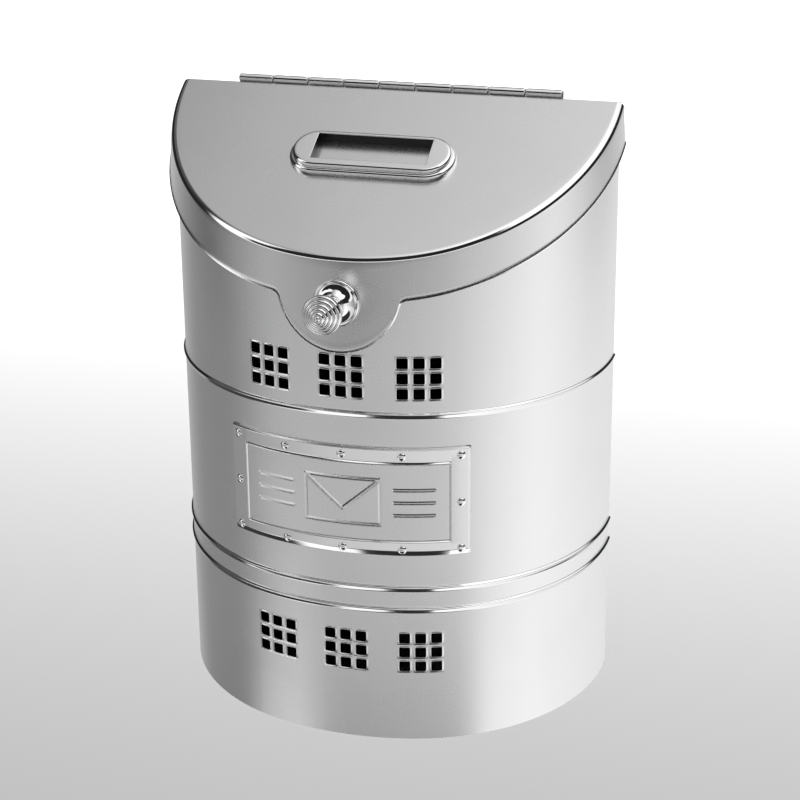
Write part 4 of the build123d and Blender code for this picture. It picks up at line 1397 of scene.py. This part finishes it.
# ---- stage --------------------------------------------------------------------------------------
def surround():
    """Studio surround seen in the metal: overhead scrim, dark room, pale floor, bright right."""
    world = bpy.data.worlds.new("studio_surround")
    bpy.context.scene.world = world
    world.use_nodes = True
    tree = world.node_tree
    tree.nodes.clear()
    look = node(tree, "ShaderNodeSeparateXYZ", None, {
        0: node(tree, "ShaderNodeTexCoord").outputs["Generated"],
    }).outputs
    values = {"x": look[0], "y": look[1], "z": look[2]}
    table(tree, "ShaderNodeMath", "operation", values, (
        ("front", "MULTIPLY", "y", -1.0), ("angle", "ARCTAN2", "x", "front"),
        ("turns", "DIVIDE", "angle", 2 * math.pi), ("round", "ADD", "turns", 0.5),
        ("slope", "MULTIPLY", "x", 1.75), ("ceiling_raw", "ADD", "slope", 1.12),
        ("ceiling_low", "MAXIMUM", "ceiling_raw", 0.2), ("ceiling", "MINIMUM", "ceiling_low", 1.5),
    ))
    # Light by direction round the object, in degrees from the front towards the right.
    bands = {
        "under": ((-180, .1), (-76, .03), (-70, 1.3), (-38, 1.3), (-32, .03), (48, .03), (56, 1.4),
                  (180, .8)),
        "floor": ((-180, .9), (-120, .3), (-80, .3), (-20, .7), (30, .85), (85, 1.2), (180, .9)),
        "room": ((-180, 1.0), (-90, .1), (-45, .5), (-10, .15), (40, .6), (90, 1.1), (130, .5),
                 (180, 1.0)),
        "low": ((-180, .4), (-150, .02), (-76, .02), (-68, 1.1), (44, 1.1), (54, .02), (130, .02),
                (180, .9)),
        "dark": ((-180, .02), (-78, .02), (-72, 1.4), (-58, 1.4), (-52, .02), (180, .02)),
        "scrim": ((-180, .3), (-78, .02), (-72, 1.4), (-52, 1.4), (-44, .02), (44, .02), (52, 1.6),
                  (180, .9)),
    }
    for name, stops in bands.items():
        ramp = node(tree, "ShaderNodeValToRGB", None, {"Fac": values["round"]})
        elements = ramp.color_ramp.elements
        for i, (angle, light) in enumerate(stops):
            position = angle / 360 + 0.5
            if i < 2:
                elements[i].position = position
            else:
                elements.new(position)
        for (angle, light), element in zip(stops, sorted(elements, key=lambda e: e.position)):
            element.color = (light, light, light, 1)
        values[name] = ramp.outputs[0]
    layers = (("floor", -0.57, -0.52), ("room", -0.32, -0.24), ("low", -0.01, 0.03),
              ("dark", 0.14, 0.18), ("scrim", 0.54, 0.58), ("ceiling", 0.82, 0.86))
    seen = values["under"]
    for name, low, high in layers:
        share = node(tree, "ShaderNodeMapRange", {"interpolation_type": "SMOOTHSTEP"}, {
            "Value": values["z"], "From Min": low, "From Max": high,
        })
        mixed = node(tree, "ShaderNodeMix", {"data_type": "RGBA"}, {"Factor": share.outputs[0]})
        tree.links.new(seen, mixed.inputs[6])
        tree.links.new(values[name], mixed.inputs[7])
        seen = mixed.outputs[2]
    glow = node(tree, "ShaderNodeBackground", None, {"Color": seen, "Strength": 1.0})
    node(tree, "ShaderNodeOutputWorld", None, {"Surface": glow.outputs[0]})


class MAILBOX_OT_stage(bpy.types.Operator):
    """Pale floor, soft studio light and the camera"""

    bl_idname = "mailbox.stage"
    bl_label = "Stage"

    def execute(self, context):
        scene = context.scene
        scene.view_settings.view_transform = "Standard"
        surround()
        size, level = 14.0, BOTTOM - 0.6
        corners = [(x, y, level) for x, y in ((-size, -size), (size, -size), (size, size),
                                              (-size, size))]
        floor = put("studio_floor", corners, [(0, 1, 2, 3)])
        # Matt grey backdrop paper: it fades evenly from the lamp behind to the camera.
        paper = bpy.data.materials.new("studio_paper")
        paper.use_nodes = True
        shader = paper.node_tree.nodes["Principled BSDF"].inputs
        shader["Base Color"].default_value = linear(scene.mailbox_finish.paper)
        shader["Roughness"].default_value = 0.9
        floor.data.materials.append(paper)
        floor.visible_glossy = False

        lamp = bpy.data.lights.new("back_light", "AREA")
        lamp.shape, lamp.size, lamp.size_y = "RECTANGLE", 9.0, 6.0
        lamp.energy = 600.0
        back = bpy.data.objects.new("back_light", lamp)
        back.location = (-0.8, 4.9, 1.02)
        back.visible_camera = back.visible_glossy = False
        scene.collection.objects.link(back)

        azimuth, elevation, roll = math.radians(15.70), math.radians(20.03), math.radians(-0.54)
        target, distance = Vector((0.01872, -0.0723, 0.05596)), 1.1934
        view = Vector((math.sin(azimuth) * math.cos(elevation),
                       -math.cos(azimuth) * math.cos(elevation), math.sin(elevation)))
        lens = bpy.data.cameras.new("camera")
        lens.sensor_width = 36.0
        lens.lens = 90.5
        lens.shift_y = -0.075
        lens.clip_start, lens.clip_end = 0.01, 100.0
        camera = bpy.data.objects.new("camera", lens)
        camera.location = target + view * distance
        camera.rotation_mode = "QUATERNION"
        camera.rotation_quaternion = Quaternion(view, roll) @ (-view).to_track_quat("-Z", "Y")
        scene.collection.objects.link(camera)
        scene.camera = camera
        return {"FINISHED"}


class MAILBOX_PT_panel(bpy.types.Panel):
    """Lists the mailbox's pieces and sizes"""

    bl_idname = "MAILBOX_PT_panel"
    bl_label = "Mailbox"
    bl_space_type = "VIEW_3D"
    bl_region_type = "UI"
    bl_category = "Mailbox"

    def draw(self, context):
        for operator in OPERATORS:
            self.layout.operator(operator.bl_idname)
        for name in GROUPS:
            group = getattr(context.scene, name)
            box = self.layout.box()
            for key in group.__annotations__:
                box.prop(group, key)


OPERATORS = (
    MAILBOX_OT_shell, MAILBOX_OT_plaque, MAILBOX_OT_wall_rivets, MAILBOX_OT_lid,
    MAILBOX_OT_name_frame, MAILBOX_OT_knob, MAILBOX_OT_hinge, MAILBOX_OT_carried, MAILBOX_OT_stage,
)
GROUPS = {
    "mailbox_body": MailboxBody, "mailbox_plaque": MailboxPlaque, "mailbox_lid": MailboxLid,
    "mailbox_fittings": MailboxFittings, "mailbox_finish": MailboxFinish,
}


def register():
    for name, group in GROUPS.items():
        bpy.utils.register_class(group)
        setattr(bpy.types.Scene, name, bpy.props.PointerProperty(type=group))
    for made in OPERATORS + (MAILBOX_PT_panel,):
        bpy.utils.register_class(made)


def unregister():
    for made in reversed(OPERATORS + (MAILBOX_PT_panel,)):
        bpy.utils.unregister_class(made)
    for name, group in GROUPS.items():
        delattr(bpy.types.Scene, name)
        bpy.utils.unregister_class(group)


def main():
    """Registers the add-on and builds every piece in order."""
    register()
    for operator in OPERATORS:
        space, name = operator.bl_idname.split(".")
        getattr(getattr(bpy.ops, space), name)()


if __name__ == "__main__":
    main()
